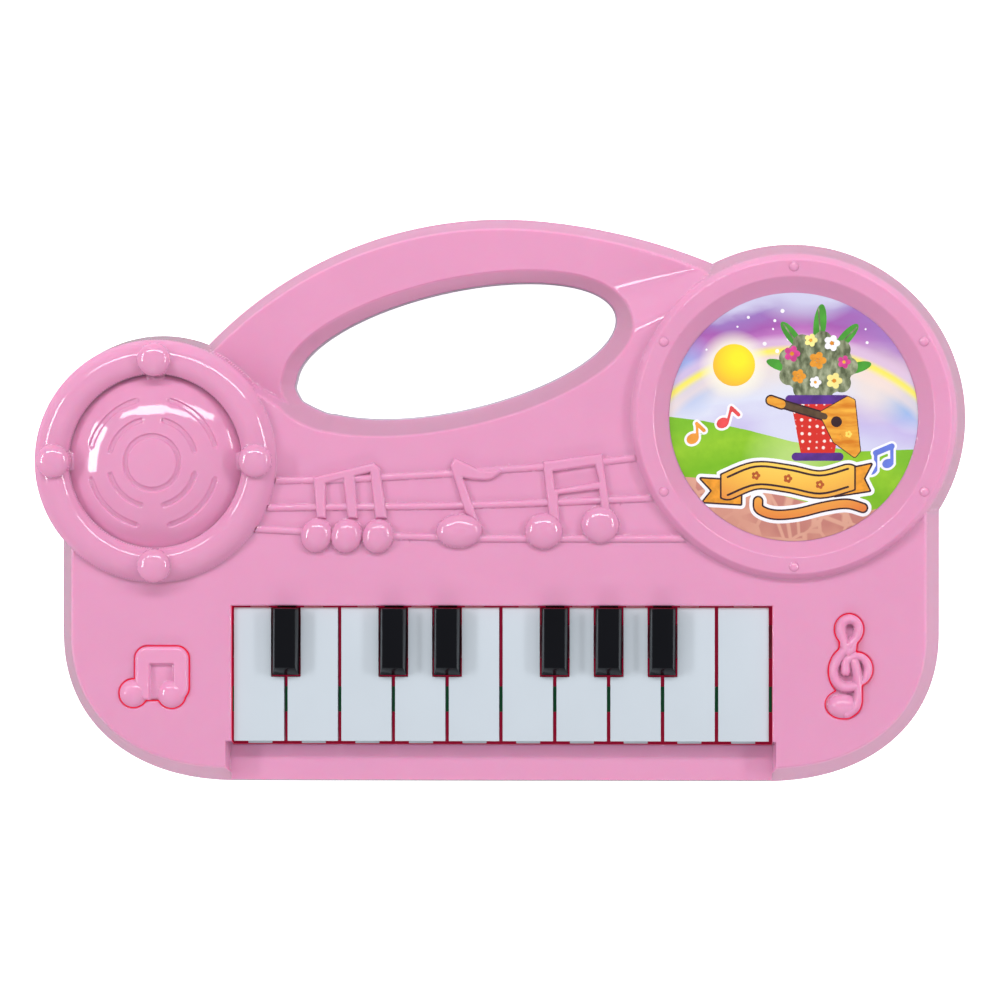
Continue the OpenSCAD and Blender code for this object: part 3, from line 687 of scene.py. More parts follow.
def front_height(x, y):
    slope = np.where(y > HANDLE_FROM_Y, HANDLE_SLOPE, BODY_SLOPE)
    slope = np.where((x > SILL[0] + 0.2) & (x < SILL[1] - 0.2) & (y < SLOT[2]), SILL_SLOPE, slope)
    soft = np.where(y > HANDLE_FROM_Y, 1.6, 2.2)
    z = smooth_min(roof(x, y), PARTING_Z + slope * base_depth(x, y), soft)
    beside = np.maximum.reduce([SILL[0] - x, x - SILL[1], y - SLOT[2] - 0.4])
    z = smooth_min(z, smooth_max(SILL_Z + 0 * x, SILL_Z + 10 * beside, 0.5), 0.7)
    z = z + relief(x, y)
    z = np.where(from_badge(x, y) < 50, badge_height(x, y, z), z)
    z = np.where(from_speaker(x, y) < 38, speaker_height(x, y, z), z)
    z = smooth_min(z, PARTING_Z - 4.3 * opening_depth(x, y), 1.7)
    z = z - edge_drop(slot_distance(x, y), 0.45)
    z = z - edge_drop(-note_hole(x, y), 0.45) - edge_drop(-clef_hole(x, y), 0.45)
    return z


# ---- melody buttons ----

BUTTON_GAP = 0.3
NOTE_FRAME = (-97.1, -82.2, -53.7, -38.8)
NOTE_FRAME_R = 3.6
NOTE_BALLS = [(-97.3, -51.6), (-87.1, -51.8)]
NOTE_BALL_R = 4.0
NOTE_RECESS = (-92.8, -86.4, -60.0, -43.7)
CLEF_BLOBS = [((93.4, -34.36), (4.02, 4.29)), ((92.5, -45.5), (4.68, 6.4)), ((95.57, -44.87), (4.28, 4.6)),
              ((91.85, -54.33), (4.93, 3.99))]
CLEF_NECKS = [([(93.4, -35.5), (93.0, -40.4)], 2.45), ([(94.9, -44.0), (95.0, -53.3)], 1.98),
              ([(92.0, -49.0), (92.0, -54.0)], 2.1)]
CLEF_STROKES = [[(92.5, -45.5), (92.7, -42.9), (94.6, -41.6), (96.9, -41.7), (98.5, -44.1), (98.1, -47.0),
                 (96.7, -48.8), (94.9, -49.5), (92.0, -49.7), (90.1, -48.2), (89.2, -45.6), (90.0, -43.0),
                 (91.5, -40.7), (93.3, -38.9), (95.2, -37.0)],
                [(91.2, -35.2), (91.9, -37.8), (93.3, -40.5)],
                [(94.9, -43.0), (95.7, -46.5), (96.0, -50.0), (95.9, -52.6), (94.9, -55.2), (92.8, -56.8)]]
CLEF_LOOP = [(93.7, -31.5), (91.9, -32.4), (91.2, -34.5), (92.0, -37.6), (93.6, -40.2), (95.1, -37.8),
             (96.1, -34.4), (95.4, -32.3), (93.7, -31.5)]
CLEF_FOOT = ((91.7, -54.8), (4.1, 3.3))
STROKE_HALF = 1.4
BUTTON_FLOOR = 31.7
BUTTON_TOP = 33.5
BUTTON_CORE = 32.4
BUTTON_FOOT = 28.6
CLEF_FLOOR = 31.1
CLEF_RISE = 2.4
CLEF_OVER = 0.25
CLEF_FOOT_RISE = 3.0
LIP_Z = 30.0
LIP_HALF = 0.13


def rounded_box_depth(x, y, box, radius):
    ux = np.abs(x - (box[0] + box[1]) / 2) - (box[1] - box[0]) / 2 + radius
    uy = np.abs(y - (box[2] + box[3]) / 2) - (box[3] - box[2]) / 2 + radius
    return radius - np.hypot(np.maximum(ux, 0), np.maximum(uy, 0)) - np.minimum(np.maximum(ux, uy), 0)


def note_hole(x, y):
    d = rounded_box_depth(x, y, NOTE_FRAME, NOTE_FRAME_R)
    for at in NOTE_BALLS:
        d = np.maximum(d, NOTE_BALL_R - np.hypot(x - at[0], y - at[1]))
    return d


def note_face(x, y):
    frame_depth = rounded_box_depth(x, y, NOTE_FRAME, NOTE_FRAME_R) - BUTTON_GAP
    top = BUTTON_TOP - edge_drop(frame_depth, 1.1)
    hollow = rounded_box_depth(x, y, NOTE_RECESS, 0.4)
    top = top - 1.5 * ease((hollow + 0.35) / 0.7)
    z = np.where(frame_depth > 0, top, BUTTON_FLOOR)
    for at in NOTE_BALLS:
        d = np.hypot(x - at[0], y - at[1]) / (NOTE_BALL_R - BUTTON_GAP + 0.02)
        z = np.maximum(z, np.where(d < 1, BUTTON_FLOOR + 2.5 * np.clip(1 - d * d, 0, 1) ** 0.5, 0))
    return z


def clef_hole(x, y):
    d = ellipse_depth(x, y, *CLEF_BLOBS[0])
    for at, axes in CLEF_BLOBS[1:]:
        d = np.maximum(d, ellipse_depth(x, y, at, axes))
    for path, half in CLEF_NECKS:
        d = smooth_max(d, half - line_distance(x, y, path), 0.5)
    return d


def smooth_path(points, per=6):
    """Catmull-Rom curve through a few points."""
    p = [points[0]] + list(points) + [points[-1]]
    out = []
    for a, b, c, d in zip(p, p[1:], p[2:], p[3:]):
        for t in np.arange(per) / per:
            out.append(tuple(0.5 * (2 * b[k] + (c[k] - a[k]) * t
                                    + (2 * a[k] - 5 * b[k] + 4 * c[k] - d[k]) * t * t
                                    + (3 * b[k] - a[k] - 3 * c[k] + d[k]) * t ** 3) for k in range(2)))
    return out + [tuple(points[-1])]


CLEF_PATHS = [smooth_path(path) for path in CLEF_STROKES + [CLEF_LOOP]]


def clef_face(x, y):
    """The third stroke passes over the others."""
    z = np.full(np.shape(x), CLEF_FLOOR)
    for k, path in enumerate(CLEF_PATHS):
        d = line_distance(x, y, path) / STROKE_HALF
        rise = CLEF_RISE + (CLEF_OVER if k == 2 else 0.0)
        z = np.maximum(z, CLEF_FLOOR + np.where(d < 1, rise * np.clip(1 - d * d, 0, 1) ** 0.5, 0))
    foot = np.clip(1 - ellipse_depth(x, y, *CLEF_FOOT) / min(CLEF_FOOT[1]), 0, 1)
    return np.maximum(z, CLEF_FLOOR + CLEF_FOOT_RISE * np.clip(1 - foot ** 2, 0, 1) ** 0.5)


def button_core(x, y):
    return np.full(np.shape(x), BUTTON_CORE)


def make_button(name, hole, face, low, high):
    """One button cap, a little smaller than its hole all round."""
    def cap(x, y):
        return hole(x, y) - BUTTON_GAP

    outline = contours(cap, low, high, 0.4, 0.3)[:1]
    samples = rings(outline, cap, [0.08, 0.2, 0.4, 0.65, 1.0, 1.4, 2.0, 2.8])
    samples.append(grid_points(low, high, 0.32))
    # The rim of the cap takes the painted shade.
    piece = moulded_sheet(name, outline, [BUTTON_FOOT], samples, cap, face, button_core, 1,
                          [button_plastic, pink_painted_shade])
    node = name.replace("_cap", "")
    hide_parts(node)
    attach(piece, node)


def make_gap_shade_lip(name, hole, low, high):
    """A thin lip of the front shell low in the gap round a button, in painted shade: a dark red strip where the gap
    lies in shade.
    """
    def strip(x, y):
        return LIP_HALF - np.abs(hole(x, y) - LIP_HALF)

    def lip_top(x, y):
        return np.full(np.shape(x), LIP_Z + 0.5)

    loops = contours(strip, low, high, 0.1, 0.3)
    piece = moulded_sheet(name, loops, [LIP_Z] * len(loops), rings(loops[:1], strip, [0.11]), strip,
                          lip_top, button_core, 1, [pink_painted_shade])
    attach(piece, "case")


make_button("note_button_cap", note_hole, note_face, (-103, -57), (-80, -37))
make_button("clef_button_cap", clef_hole, clef_face, (86, -60), (102, -28))
# Painted shade strips in the gaps round the two buttons.
make_gap_shade_lip("note_gap_shade_lip", note_hole, (-103, -57), (-80, -37))
make_gap_shade_lip("clef_gap_shade_lip", clef_hole, (86, -60), (102, -28))


# ---- front shell mesh ----

def box_loop(x0, x1, y0, y1, spacing):
    """A rectangle's outline, with its corners kept."""
    corners = [(x0, y0), (x1, y0), (x1, y1), (x0, y1), (x0, y0)]
    sides = [path_points([a, b], spacing, [0])[:-1] for a, b in zip(corners, corners[1:])]
    return np.vstack(sides)


# Where the mesh of the front shell gets its rings of points: closest together where it bends most
WALL_LEVELS = [0.12, 0.3, 0.6, 0.8, 0.95, 1.05, 1.15, 1.3, 1.6, 2.0, 2.5, 2.8, 3.0, 3.1, 3.2, 3.4, 3.7, 4.0,
               4.2, 4.4, 4.6, 4.8, 5.0, 5.2, 5.5, 6.2, 7.5]
OPENING_LEVELS = [-0.7, -1.4, -2.0, -2.4, -2.7, -2.9, -3.2, -3.6, -3.9, -4.2, -4.4, -4.6, -4.8, -5.1, -5.6, -6.6]
SPEAKER_RINGS = [2, 4, 9, 14, 19.5, 21.5, 23, 23.13, 23.2, 23.3, 23.42, 23.6, 23.9, 24.3, 24.8, 25.4, 26.1,
                 26.8, 27.6, 28.4, 29.2, 30, 30.7, 31.3, 31.8, 32.1, 32.3, 32.5, 32.7, 33, 33.4]
BADGE_RINGS = [8, 18, 27, 32.8, 33, 33.1, 33.2, 33.35, 34.4, 35.8, 36.9, 37.1, 37.3, 37.5, 37.7, 38.6, 40, 41,
               41.3, 41.5, 41.7, 41.9, 42.1, 42.6, 43.1, 43.3, 43.5, 44, 45, 46]
EDGE_STEPS = [0.06, 0.14, 0.26, 0.4, 0.6]
BAR_OFFSETS = [-0.8, -0.6, -0.4, -0.2, -0.08, 0, 0.08, 0.2, 0.4, 0.6, 0.8]
STAFF_OFFSETS = [-1.05, -0.93, -0.85, -0.7, -0.4, 0, 0.4, 0.7, 0.85, 0.93, 1.05]


def front_inside(x, y):
    return np.minimum.reduce([case_depth(x, y), -opening_depth(x, y), slot_distance(x, y),
                              -note_hole(x, y), -clef_hole(x, y)])


def front_samples(outer, opening, note_loop, clef_loop):
    base = contours(base_depth, (-126, -78), (126, 80), 1.0, 0.9)
    walls = np.vstack(rings(base, base_depth, WALL_LEVELS))
    clear = (from_speaker(*walls.T) > 32.2) & (from_badge(*walls.T) > 43.0)
    samples = [walls[clear]]
    for r in SPEAKER_RINGS:
        samples.append(circle_points(SPEAKER_AT, r, int(24 + 8 * r)))
    for radius, _, half in GROOVES:
        for d in (-0.95, -0.8, -0.65, -0.5, -0.3, 0, 0.3, 0.5, 0.65, 0.8, 0.95):
            samples.append(circle_points(GROOVE_MIDDLE, radius + d * (half + 0.35), int(24 + 8 * radius)))
    for orbit, turn in BOSSES:
        at = circle_points(SPEAKER_AT, orbit, 1, math.radians(turn))[0]
        for r in (0.8, 1.6, 2.4, 3.1, 3.6, 3.95, 4.15, 4.3, 4.42, 4.6):
            samples.append(circle_points(at, r, 44))
    for r in BADGE_RINGS:
        samples.append(circle_points(BADGE_AT, r, 260 if r > 30 else 60))
    for k in range(6):
        at = circle_points(BADGE_AT, RIVET_ORBIT, 6, math.radians(30))[k]
        for r in (0.35, 0.7, 1.0, 1.15, 1.25, 1.4):
            samples.append(circle_points(at, r, 24))
    samples += rings(opening, opening_depth, OPENING_LEVELS)
    samples += rings(note_loop, note_hole, [-d for d in EDGE_STEPS])
    samples += rings(clef_loop, clef_hole, [-d for d in EDGE_STEPS])
    x0, x1, y0, y1 = SLOT
    for d in EDGE_STEPS:
        samples.append(box_loop(x0 - d, x1 + d, y0 - d, y1 + d, 0.9))
    for d in (-0.3, -0.1, 0, 0.1, 0.25, 0.4, 0.5, 0.6, 0.7, 0.8, 0.95, 1.2, 1.6):
        for x in (SILL[0] - d, SILL[1] + d):
            samples.append(path_points([(x, FRONT_Y + 0.2), (x, y0 + 1.5)], 0.35, [0]))
    for path in STAFF:
        samples.append(path_points(path, 0.8, STAFF_OFFSETS))
    for points in NOTE_BARS:
        samples.append(path_points(points + points[:1], 0.35, BAR_OFFSETS))
    for at, axes, tilt in NOTE_HEADS:
        for q in (0.2, 0.4, 0.6, 0.75, 0.85, 0.92, 0.97, 1.0, 1.04):
            ring = circle_points((0, 0), 1, 36) * np.array(axes) * q
            c, s = math.cos(math.radians(tilt)), math.sin(math.radians(tilt))
            samples.append(ring @ np.array([[c, s], [-s, c]]) + at)
    samples.append(grid_points((-68, 14), (-42, 37), 0.7))
    samples.append(grid_points((6, 38), (64, 67), 0.8))
    samples.append(grid_points((-52, -14), (34, 14), 1.1))
    samples.append(grid_points((-120, -76), (126, 76), 3.5))
    return samples


def slot_foot(x, y):
    return 23.0 if y < SLOT[2] + 0.01 else 28.0


outer_loops = [with_corners(contours(case_depth, (-128, -79), (128, 79), 1.0, 0.7)[0], case_depth)]
opening_loops = contours(opening_depth, (-62, 16), (38, 64), 0.5, 0.5)[:1]
note_loops = contours(note_hole, (-104, -58), (-80, -36), 0.4, 0.3)[:1]
clef_loops = contours(clef_hole, (86, -60), (102, -28), 0.4, 0.3)[:1]
# The rims of the key slot and button holes take the painted shade.
front_shell = moulded_sheet(
    "front_shell_moulding", outer_loops + opening_loops + [box_loop(*SLOT, 0.9)] + note_loops + clef_loops,
    [None, None, slot_foot, 29.0, 29.0], front_samples(outer_loops, opening_loops, note_loops, clef_loops),
    front_inside, front_height, core_height, 1, [pink_plastic, pink_painted_shade])
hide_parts("front_shell")
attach(front_shell, "case")


# ---- badge picture: a printed disc, its shapes cut out of one flat mesh ----

PRINT_Z = (31.0, 31.25)
PRINT_R = 33.0


def printed(name, colour, vary=0.08, scale=260, rough=0.3):
    """Printed film; colour is a linear colour, or a function of the node tree that gives a colour socket."""
    material, tree, shader = node_material(name)
    if callable(colour):
        tree.links.new(colour(tree), shader.inputs["Base Color"])
    else:
        tint = add_ramp(tree, add_noise(tree, scale, 3),
                        [(0.35, shade(colour, 1 - vary)), (0.65, shade(colour, 1 + vary))])
        tree.links.new(tint, shader.inputs["Base Color"])
    shader.inputs["Roughness"].default_value = rough
    return material


def away_from(tree, at, squash=(1, 1)):
    """Distance in mm from a point of the badge."""
    where = tree.nodes.new("ShaderNodeTexCoord")
    mapping = tree.nodes.new("ShaderNodeMapping")
    mapping.inputs["Scale"].default_value = (1000 * squash[0], 1000 * squash[1], 0)
    mapping.inputs["Location"].default_value = (-(BADGE_AT[0] + at[0]) * squash[0],
                                                -(BADGE_AT[1] + at[1]) * squash[1], 0)
    length = tree.nodes.new("ShaderNodeVectorMath")
    length.operation = "LENGTH"
    tree.links.new(where.outputs["Object"], mapping.inputs["Vector"])
    tree.links.new(mapping.outputs["Vector"], length.inputs[0])
    return length.outputs["Value"]


def rescaled(tree, value, low, high):
    node = tree.nodes.new("ShaderNodeMapRange")
    node.inputs["From Min"].default_value = low
    node.inputs["From Max"].default_value = high
    tree.links.new(value, node.inputs["Value"])
    return node.outputs["Result"]


def blended(tree, amount, under, over):
    mix = tree.nodes.new("ShaderNodeMix")
    mix.data_type = "RGBA"
    tree.links.new(amount, mix.inputs["Factor"])
    for socket, colour in ((mix.inputs[6], under), (mix.inputs[7], over)):
        if isinstance(colour, tuple):
            socket.default_value = (*colour, 1)
        else:
            tree.links.new(colour, socket)
    return mix.outputs[2]


def product(tree, a, b, operation="MULTIPLY"):
    node = tree.nodes.new("ShaderNodeMath")
    node.operation = operation
    for socket, value in zip(node.inputs, (a, b)):
        if isinstance(value, float):
            socket.default_value = value
        else:
            tree.links.new(value, socket)
    return node.outputs["Value"]


def band(tree, value, middle, soft):
    """1 at `middle`, falling to 0 at `soft` either side."""
    off = product(tree, product(tree, value, middle, "SUBTRACT"), 0.0, "ABSOLUTE")
    return rescaled(tree, off, soft, soft * 0.25)


SKY_STOPS = [(0.0, srgb(196, 186, 224)), (0.14, srgb(204, 204, 230)), (0.3, srgb(190, 178, 222)),
             (0.42, srgb(212, 215, 233)), (0.56, srgb(222, 212, 212)), (0.67, srgb(214, 176, 206)),
             (0.73, srgb(188, 118, 186)), (0.82, srgb(160, 88, 168)), (0.9, srgb(150, 112, 182)),
             (0.97, srgb(196, 194, 222))]
# Soft patches (middle, reach, squash, colour, amount) and rainbow bands (radius, half width, colour, amount)
SKY_PATCHES = [((-29, 11), 10.0, (1, 0.8), srgb(138, 172, 226), 0.8),
               ((32, 4), 11.0, (1, 1.4), srgb(120, 168, 220), 0.85),
               ((29, 24), 17.0, (1, 1), srgb(150, 118, 186), 0.7),
               ((22, 8), 11.0, (1, 1), srgb(232, 212, 200), 0.6),
               ((3, 33), 9.0, (0.6, 1), srgb(200, 200, 226), 0.9),
               ((-2, -1), 14.0, (1, 1.3), srgb(214, 217, 234), 0.7)]
BOW_BANDS = [(52.4, 2.6, srgb(214, 186, 216), 0.7), (50.3, 1.7, srgb(238, 226, 84), 0.95),
             (47.9, 2.6, srgb(236, 214, 204), 0.6)]


def sky_colour(tree):
    height_in_sky = rescaled(tree, away_from(tree, (6, -75)), 62, 109)
    cloud = rescaled(tree, add_noise(tree, 90, 5, (0.6, 1.5, 1)), 0.3, 0.7)
    wave = product(tree, product(tree, cloud, 0.5, "SUBTRACT"), 0.09)
    sky = add_ramp(tree, product(tree, height_in_sky, wave, "ADD"), SKY_STOPS)
    for at, reach, squash, colour, amount in SKY_PATCHES:
        near = product(tree, rescaled(tree, away_from(tree, at, squash), reach, 0.3 * reach), amount)
        sky = blended(tree, near, sky, colour)
    bow = away_from(tree, (-0.1, -32.7))
    for middle, soft, colour, amount in BOW_BANDS:
        sky = blended(tree, product(tree, band(tree, bow, middle, soft), amount), sky, colour)
    glow = rescaled(tree, away_from(tree, SUN[:2]), 9.5, 6.0)
    return blended(tree, product(tree, glow, 0.8), sky, srgb(238, 234, 218))


def grass_colour(tree):
    lift = rescaled(tree, away_from(tree, (-10, -70)), 50, 70)
    tint = add_ramp(tree, lift, [(0.0, srgb(150, 196, 60)), (0.4, srgb(118, 180, 30)), (0.7, srgb(146, 196, 44)),
                                 (1.0, srgb(122, 184, 42))])
    blade = rescaled(tree, add_noise(tree, 420, 4), 0.35, 0.7)
    tint = blended(tree, product(tree, blade, 0.3), tint, srgb(104, 166, 24))
    return blended(tree, product(tree, rescaled(tree, away_from(tree, (0, -12)), 14, 3), 0.55), tint,
                   srgb(206, 226, 150))


def path_colour(tree):
    where = tree.nodes.new("ShaderNodeTexCoord")
    cells = tree.nodes.new("ShaderNodeTexVoronoi")
    cells.feature = "DISTANCE_TO_EDGE"
    cells.inputs["Scale"].default_value = 190
    tree.links.new(where.outputs["Object"], cells.inputs["Vector"])
    stones = add_ramp(tree, cells.outputs["Distance"], [(0.05, srgb(214, 160, 140)), (0.1, srgb(190, 124, 114))])
    worn = rescaled(tree, add_noise(tree, 70, 3), 0.45, 0.62)
    return blended(tree, product(tree, worn, 0.85), stones, srgb(208, 148, 130))


def sun_colour(tree):
    return add_ramp(tree, rescaled(tree, away_from(tree, (SUN[0] + 1.2, SUN[1] + 1.6)), 0, 8),
                    [(0.2, srgb(246, 228, 40)), (0.6, srgb(240, 206, 44)), (1.0, srgb(232, 172, 56))])


def gold_colour(tree):
    return add_ramp(tree, rescaled(tree, away_from(tree, (0, 20)), 30, 48),
                    [(0.0, srgb(248, 214, 98)), (0.45, srgb(236, 182, 74)), (1.0, srgb(220, 122, 60))])


def leaf_colour(tree):
    tuft = rescaled(tree, add_noise(tree, 520, 4, (1.4, 0.7, 1)), 0.35, 0.65)
    return add_ramp(tree, tuft, [(0.0, srgb(84, 92, 66)), (0.5, srgb(122, 130, 100)), (1.0, srgb(160, 166, 136))])


def dotted_colour(tree):
    where = tree.nodes.new("ShaderNodeTexCoord")
    cells = tree.nodes.new("ShaderNodeTexVoronoi")
    cells.inputs["Scale"].default_value = 520
    cells.inputs["Randomness"].default_value = 0.25
    tree.links.new(where.outputs["Object"], cells.inputs["Vector"])
    return add_ramp(tree, cells.outputs["Distance"], [(0.18, srgb(244, 226, 220)), (0.26, srgb(206, 44, 36))])


def wood_colour(tree):
    grain = rescaled(tree, add_noise(tree, 300, 3, (0.5, 2.5, 1)), 0.3, 0.7)
    return add_ramp(tree, grain, [(0.0, srgb(206, 120, 26)), (1.0, srgb(240, 176, 64))])


SUN = (-15.8, 13.8, 5.6)
HILL = [(-34, 0.2), (-23.6, -1.1), (-12.6, -3.4), (-0.2, -6.6), (16.9, -9.2), (34, -8.6), (34, -34), (-34, -34)]
PATH = [(-34, -15.6), (-20, -16.6), (-8, -19.5), (8, -24), (20.4, -24.9), (29, -22.5), (34, -34), (-34, -34)]
POT = [(-0.6, 3.6), (13.4, 3.6), (10.9, -9.6), (1.9, -9.6)]
POT_RIM = [(-1.0, 4.6), (13.8, 4.6)]
SAUCER = [(0.6, -10.6), (12.2, -10.6)]
BLADES = [((7.0, 24.6), (1.7, 5.4), -6), ((-0.4, 21.6), (1.5, 4.6), 38), ((14.0, 21.2), (1.5, 4.6), -42),
          ((-3.2, 13.6), (1.4, 4.2), 72), ((16.6, 13.0), (1.4, 4.2), -74)]
VEINS = [[(7.2, 21), (6.6, 29)], [(0.6, 20), (-2.6, 24.6)], [(13, 20), (16.8, 23.8)]]
BLOOMS = [((-0.4, 16.8), 1.35, 0), ((4.6, 20.4), 1.1, 1), ((10.2, 19.6), 1.35, 2), ((13.4, 14.6), 1.1, 0),
          ((6.4, 15.0), 1.45, 3), ((1.4, 10.8), 1.2, 3), ((10.8, 9.6), 1.35, 1), ((5.8, 9.2), 1.0, 2)]
LUTE = [(7.4, 0.9), (14.4, 4.9), (15.8, 4.2), (17.2, -9.0), (16.2, -10.2), (11.0, -6.4)]
LUTE_NECK = [(8.2, 0.1), (-3.6, 3.6)]
LUTE_HEAD = [(-3.2, 3.4), (-6.0, 4.4)]
BANNER = [(-17.5, -18.4), (-10.0, -15.6), (-1.5, -16.4), (7.0, -18.0), (14.5, -16.2)]
BANNER_TAILS = [[(-24.6, -16.4), (-14.0, -17.0), (-14.0, -23.2), (-24.0, -22.6), (-21.6, -19.6)],
                [(11.0, -14.6), (20.6, -12.6), (18.6, -16.4), (20.2, -19.6), (11.0, -21.0)]]
BANNER_MIDDLE, BANNER_HALF = -1.5, 17.6
SWOOSH = [(-9.4, -22.4), (-9.0, -24.6), (-5.0, -26.0), (1.0, -25.6), (8.0, -23.9), (14.0, -23.1), (18.4, -24.2)]


def outline_of(points):
    return np.array(smooth_path(list(points) + [points[0]], 4)[:-1])


def disc(at, radius):
    return lambda x, y: radius - np.hypot(x - at[0], y - at[1])


def oval(at, axes, tilt=0.0):
    return lambda x, y: ellipse_depth(x, y, at, axes, tilt)


def stroke(points, half, curved=True):
    path = smooth_path(points) if curved else points
    return lambda x, y: half - line_distance(x, y, path)


def patch(points, curved=True, grow=0.0):
    loop = outline_of(points) if curved else np.array(points, float)
    return lambda x, y: polygon_depth(x, y, loop) + grow


def joined(*depths, grow=0.0):
    return lambda x, y: np.maximum.reduce([d(x, y) for d in depths]) + grow


def single_note(at, lean):
    foot = (at[0] + 1.3, at[1] + 0.3)
    return joined(oval(at, (1.7, 1.35), 30), stroke([foot, (at[0] + 1.3 + lean, at[1] + 4.2)], 0.35),
                  stroke([(at[0] + 1.3 + lean, at[1] + 4.0), (at[0] + 3.2 + lean, at[1] + 2.2)], 0.5))


def double_note(left, right):
    up = [(p[0] + 1.1, p[1] + 4.6) for p in (left, right)]
    return joined(oval(left, (1.5, 1.2), 20), oval(right, (1.5, 1.2), 20), stroke([up[0], up[1]], 0.75, False),
                  stroke([(left[0] + 1.1, left[1]), up[0]], 0.45, False),
                  stroke([(right[0] + 1.1, right[1]), up[1]], 0.45, False))


def sparkles():
    """Small dots scattered by golden-angle steps over the purple part of the sky."""
    dots = []
    for k in range(34):
        a, r = 2.39996 * k, 3.1 * math.sqrt(k)
        x, y = -2 + 1.5 * r * math.cos(a), 22.5 + 0.42 * r * math.sin(a)
        if math.hypot(x, y) < 30.5 and not 0.5 < x < 13.5:
            dots.append(disc((x, y), 0.16 + 0.13 * (k % 4)))
    return joined(*dots)


def flower(at, size):
    return joined(*[disc((at[0] + size * math.cos(a), at[1] + size * math.sin(a)), 0.62 * size)
                    for a in np.arange(5) * 2 * math.pi / 5])


def badge_shapes():
    """(depth, material) from the back to the front; the depths are in badge coordinates."""
    white = printed("print_white", srgb(238, 236, 242), 0.02)
    brown = printed("print_brown", srgb(52, 28, 36), 0.15)
    foliage = printed("print_foliage", leaf_colour)
    straw = printed("print_straw", srgb(222, 146, 44), 0.16, 500)
    wood = printed("print_wood", wood_colour)
    purple = printed("print_purple", srgb(84, 44, 132), 0.2, 300)
    pink = printed("print_pink", srgb(206, 66, 142), 0.2, 500)
    green = printed("print_leaf_green", srgb(70, 150, 50), 0.15)
    gold = printed("print_gold", gold_colour)
    lute = patch(LUTE, False, 0.5)
    waved, swoosh = stroke(BANNER, 3.4), stroke(SWOOSH, 1.0)

    def banner(x, y):
        return np.minimum(waved(x, y), BANNER_HALF - np.abs(x - BANNER_MIDDLE))

    tails = joined(*[patch(tail, False) for tail in BANNER_TAILS])
    piping = joined(*[stroke([(x, y + side) for x, y in BANNER], 0.28) for side in (2.4, -2.4)])
    bush = joined(oval((6.4, 13.6), (9.4, 8.2)), *[disc((6.4 + 8.2 * math.cos(a), 13.4 + 7.0 * math.sin(a)), 2.5)
                                                   for a in np.arange(9) * 0.7])
    leaves = joined(*[oval(*blade) for blade in BLADES])
    petals = [pink, printed("print_cream", srgb(240, 226, 140), 0.08), white, straw]
    red_note, orange_note = single_note((-18.8, -1.6), 1.0), single_note((-26.8, -5.8), -0.2)
    blue_note = double_note((20.7, -14.2), (25.0, -12.4))
    return [(disc(SUN[:2], SUN[2]), printed("print_sun", sun_colour)), (sparkles(), white),
            (patch(HILL, False), printed("print_grass", grass_colour)),
            (patch(PATH, False), printed("print_path", path_colour)),
            (joined(red_note, orange_note, blue_note, grow=0.6), white),
            (red_note, printed("print_red", srgb(222, 76, 78), 0.12)),
            (orange_note, printed("print_orange", srgb(230, 150, 58), 0.12)),
            (blue_note, printed("print_blue", srgb(98, 118, 210), 0.12)),
            (leaves, green), (joined(*[stroke(vein, 0.2) for vein in VEINS]), foliage),
            (bush, foliage), *[(flower(at, size), petals[kind]) for at, size, kind in BLOOMS],
            (joined(*[disc(at, 0.4 * size) for at, size, _ in BLOOMS]), wood),
            (stroke(SAUCER, 1.1), purple), (patch(POT, False), printed("print_dotted", dotted_colour)),
            (stroke(POT_RIM, 1.2), purple),
            (joined(lute, stroke(LUTE_NECK, 1.05), stroke(LUTE_HEAD, 1.3), grow=0.22), brown), (lute, wood),
            (disc((11.4, -1.3), 1.45), brown), (flower((12.2, -5.2), 0.55), straw), (flower((14.6, -4.6), 0.6), gold),
            (stroke(LUTE_NECK, 0.85), printed("print_neck", srgb(86, 66, 48), 0.2, 600)),
            (stroke(LUTE_HEAD, 1.1), wood),
            (joined(banner, tails, swoosh, grow=1.3), white), (joined(tails, swoosh, grow=0.45), brown),
            (tails, straw), (swoosh, gold), (joined(banner, grow=0.45), brown), (banner, gold), (piping, brown),
            (joined(*[flower(at, 0.75) for at in BANNER[1:4]]), printed("print_rust", srgb(176, 84, 40), 0.12))]


def make_badge_picture():
    rim = circle_points((0, 0), PRINT_R, 220)
    shapes = badge_shapes()
    loops = [rim]
    for depth, _ in shapes:
        def inside(x, y, depth=depth):
            return np.minimum(depth(x, y), PRINT_R - 0.02 - np.hypot(x, y))

        loops += contours(inside, (-33.3, -33.3), (33.3, 33.3), 0.3, 0.3)
    cloud = grid_points((-33, -33), (33, 33), 2.2)
    xy, tri, _ = triangulated(loops, cloud[np.hypot(*cloud.T) < PRINT_R - 0.5], 1e-4)
    tri = tri[np.hypot(*xy[tri].mean(1).T) < PRINT_R]
    face_up(xy, tri, 1)
    middle = xy[tri].mean(1)
    paint = np.zeros(len(tri), int)
    materials = [printed("print_sky", sky_colour)]
    for depth, material in shapes:
        if material not in materials:
            materials.append(material)
        paint[depth(middle[:, 0], middle[:, 1]) > 0] = materials.index(material)
    n = len(xy)
    quads = side_quads(border_of(tri), n)
    top = np.column_stack([xy + BADGE_AT, np.full(n, PRINT_Z[1])])
    low = np.column_stack([xy + BADGE_AT, np.full(n, PRINT_Z[0] + 0.02)])
    mesh = bpy.data.meshes.new("badge_picture")
    mesh.from_pydata((np.vstack([top, low]) * MM).tolist(), [],
                     tri.tolist() + (tri[:, ::-1] + n).tolist() + quads.tolist())
    for material in materials:
        mesh.materials.append(material)
    slots = np.zeros(len(mesh.polygons), int)
    slots[:len(tri)] = paint
    mesh.polygons.foreach_set("material_index", slots.tolist())
    mesh.update()
    piece = linked("badge_picture", mesh)
    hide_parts("badge_sticker")
    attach(piece, "case")


make_badge_picture()


# ---- rear shell ----

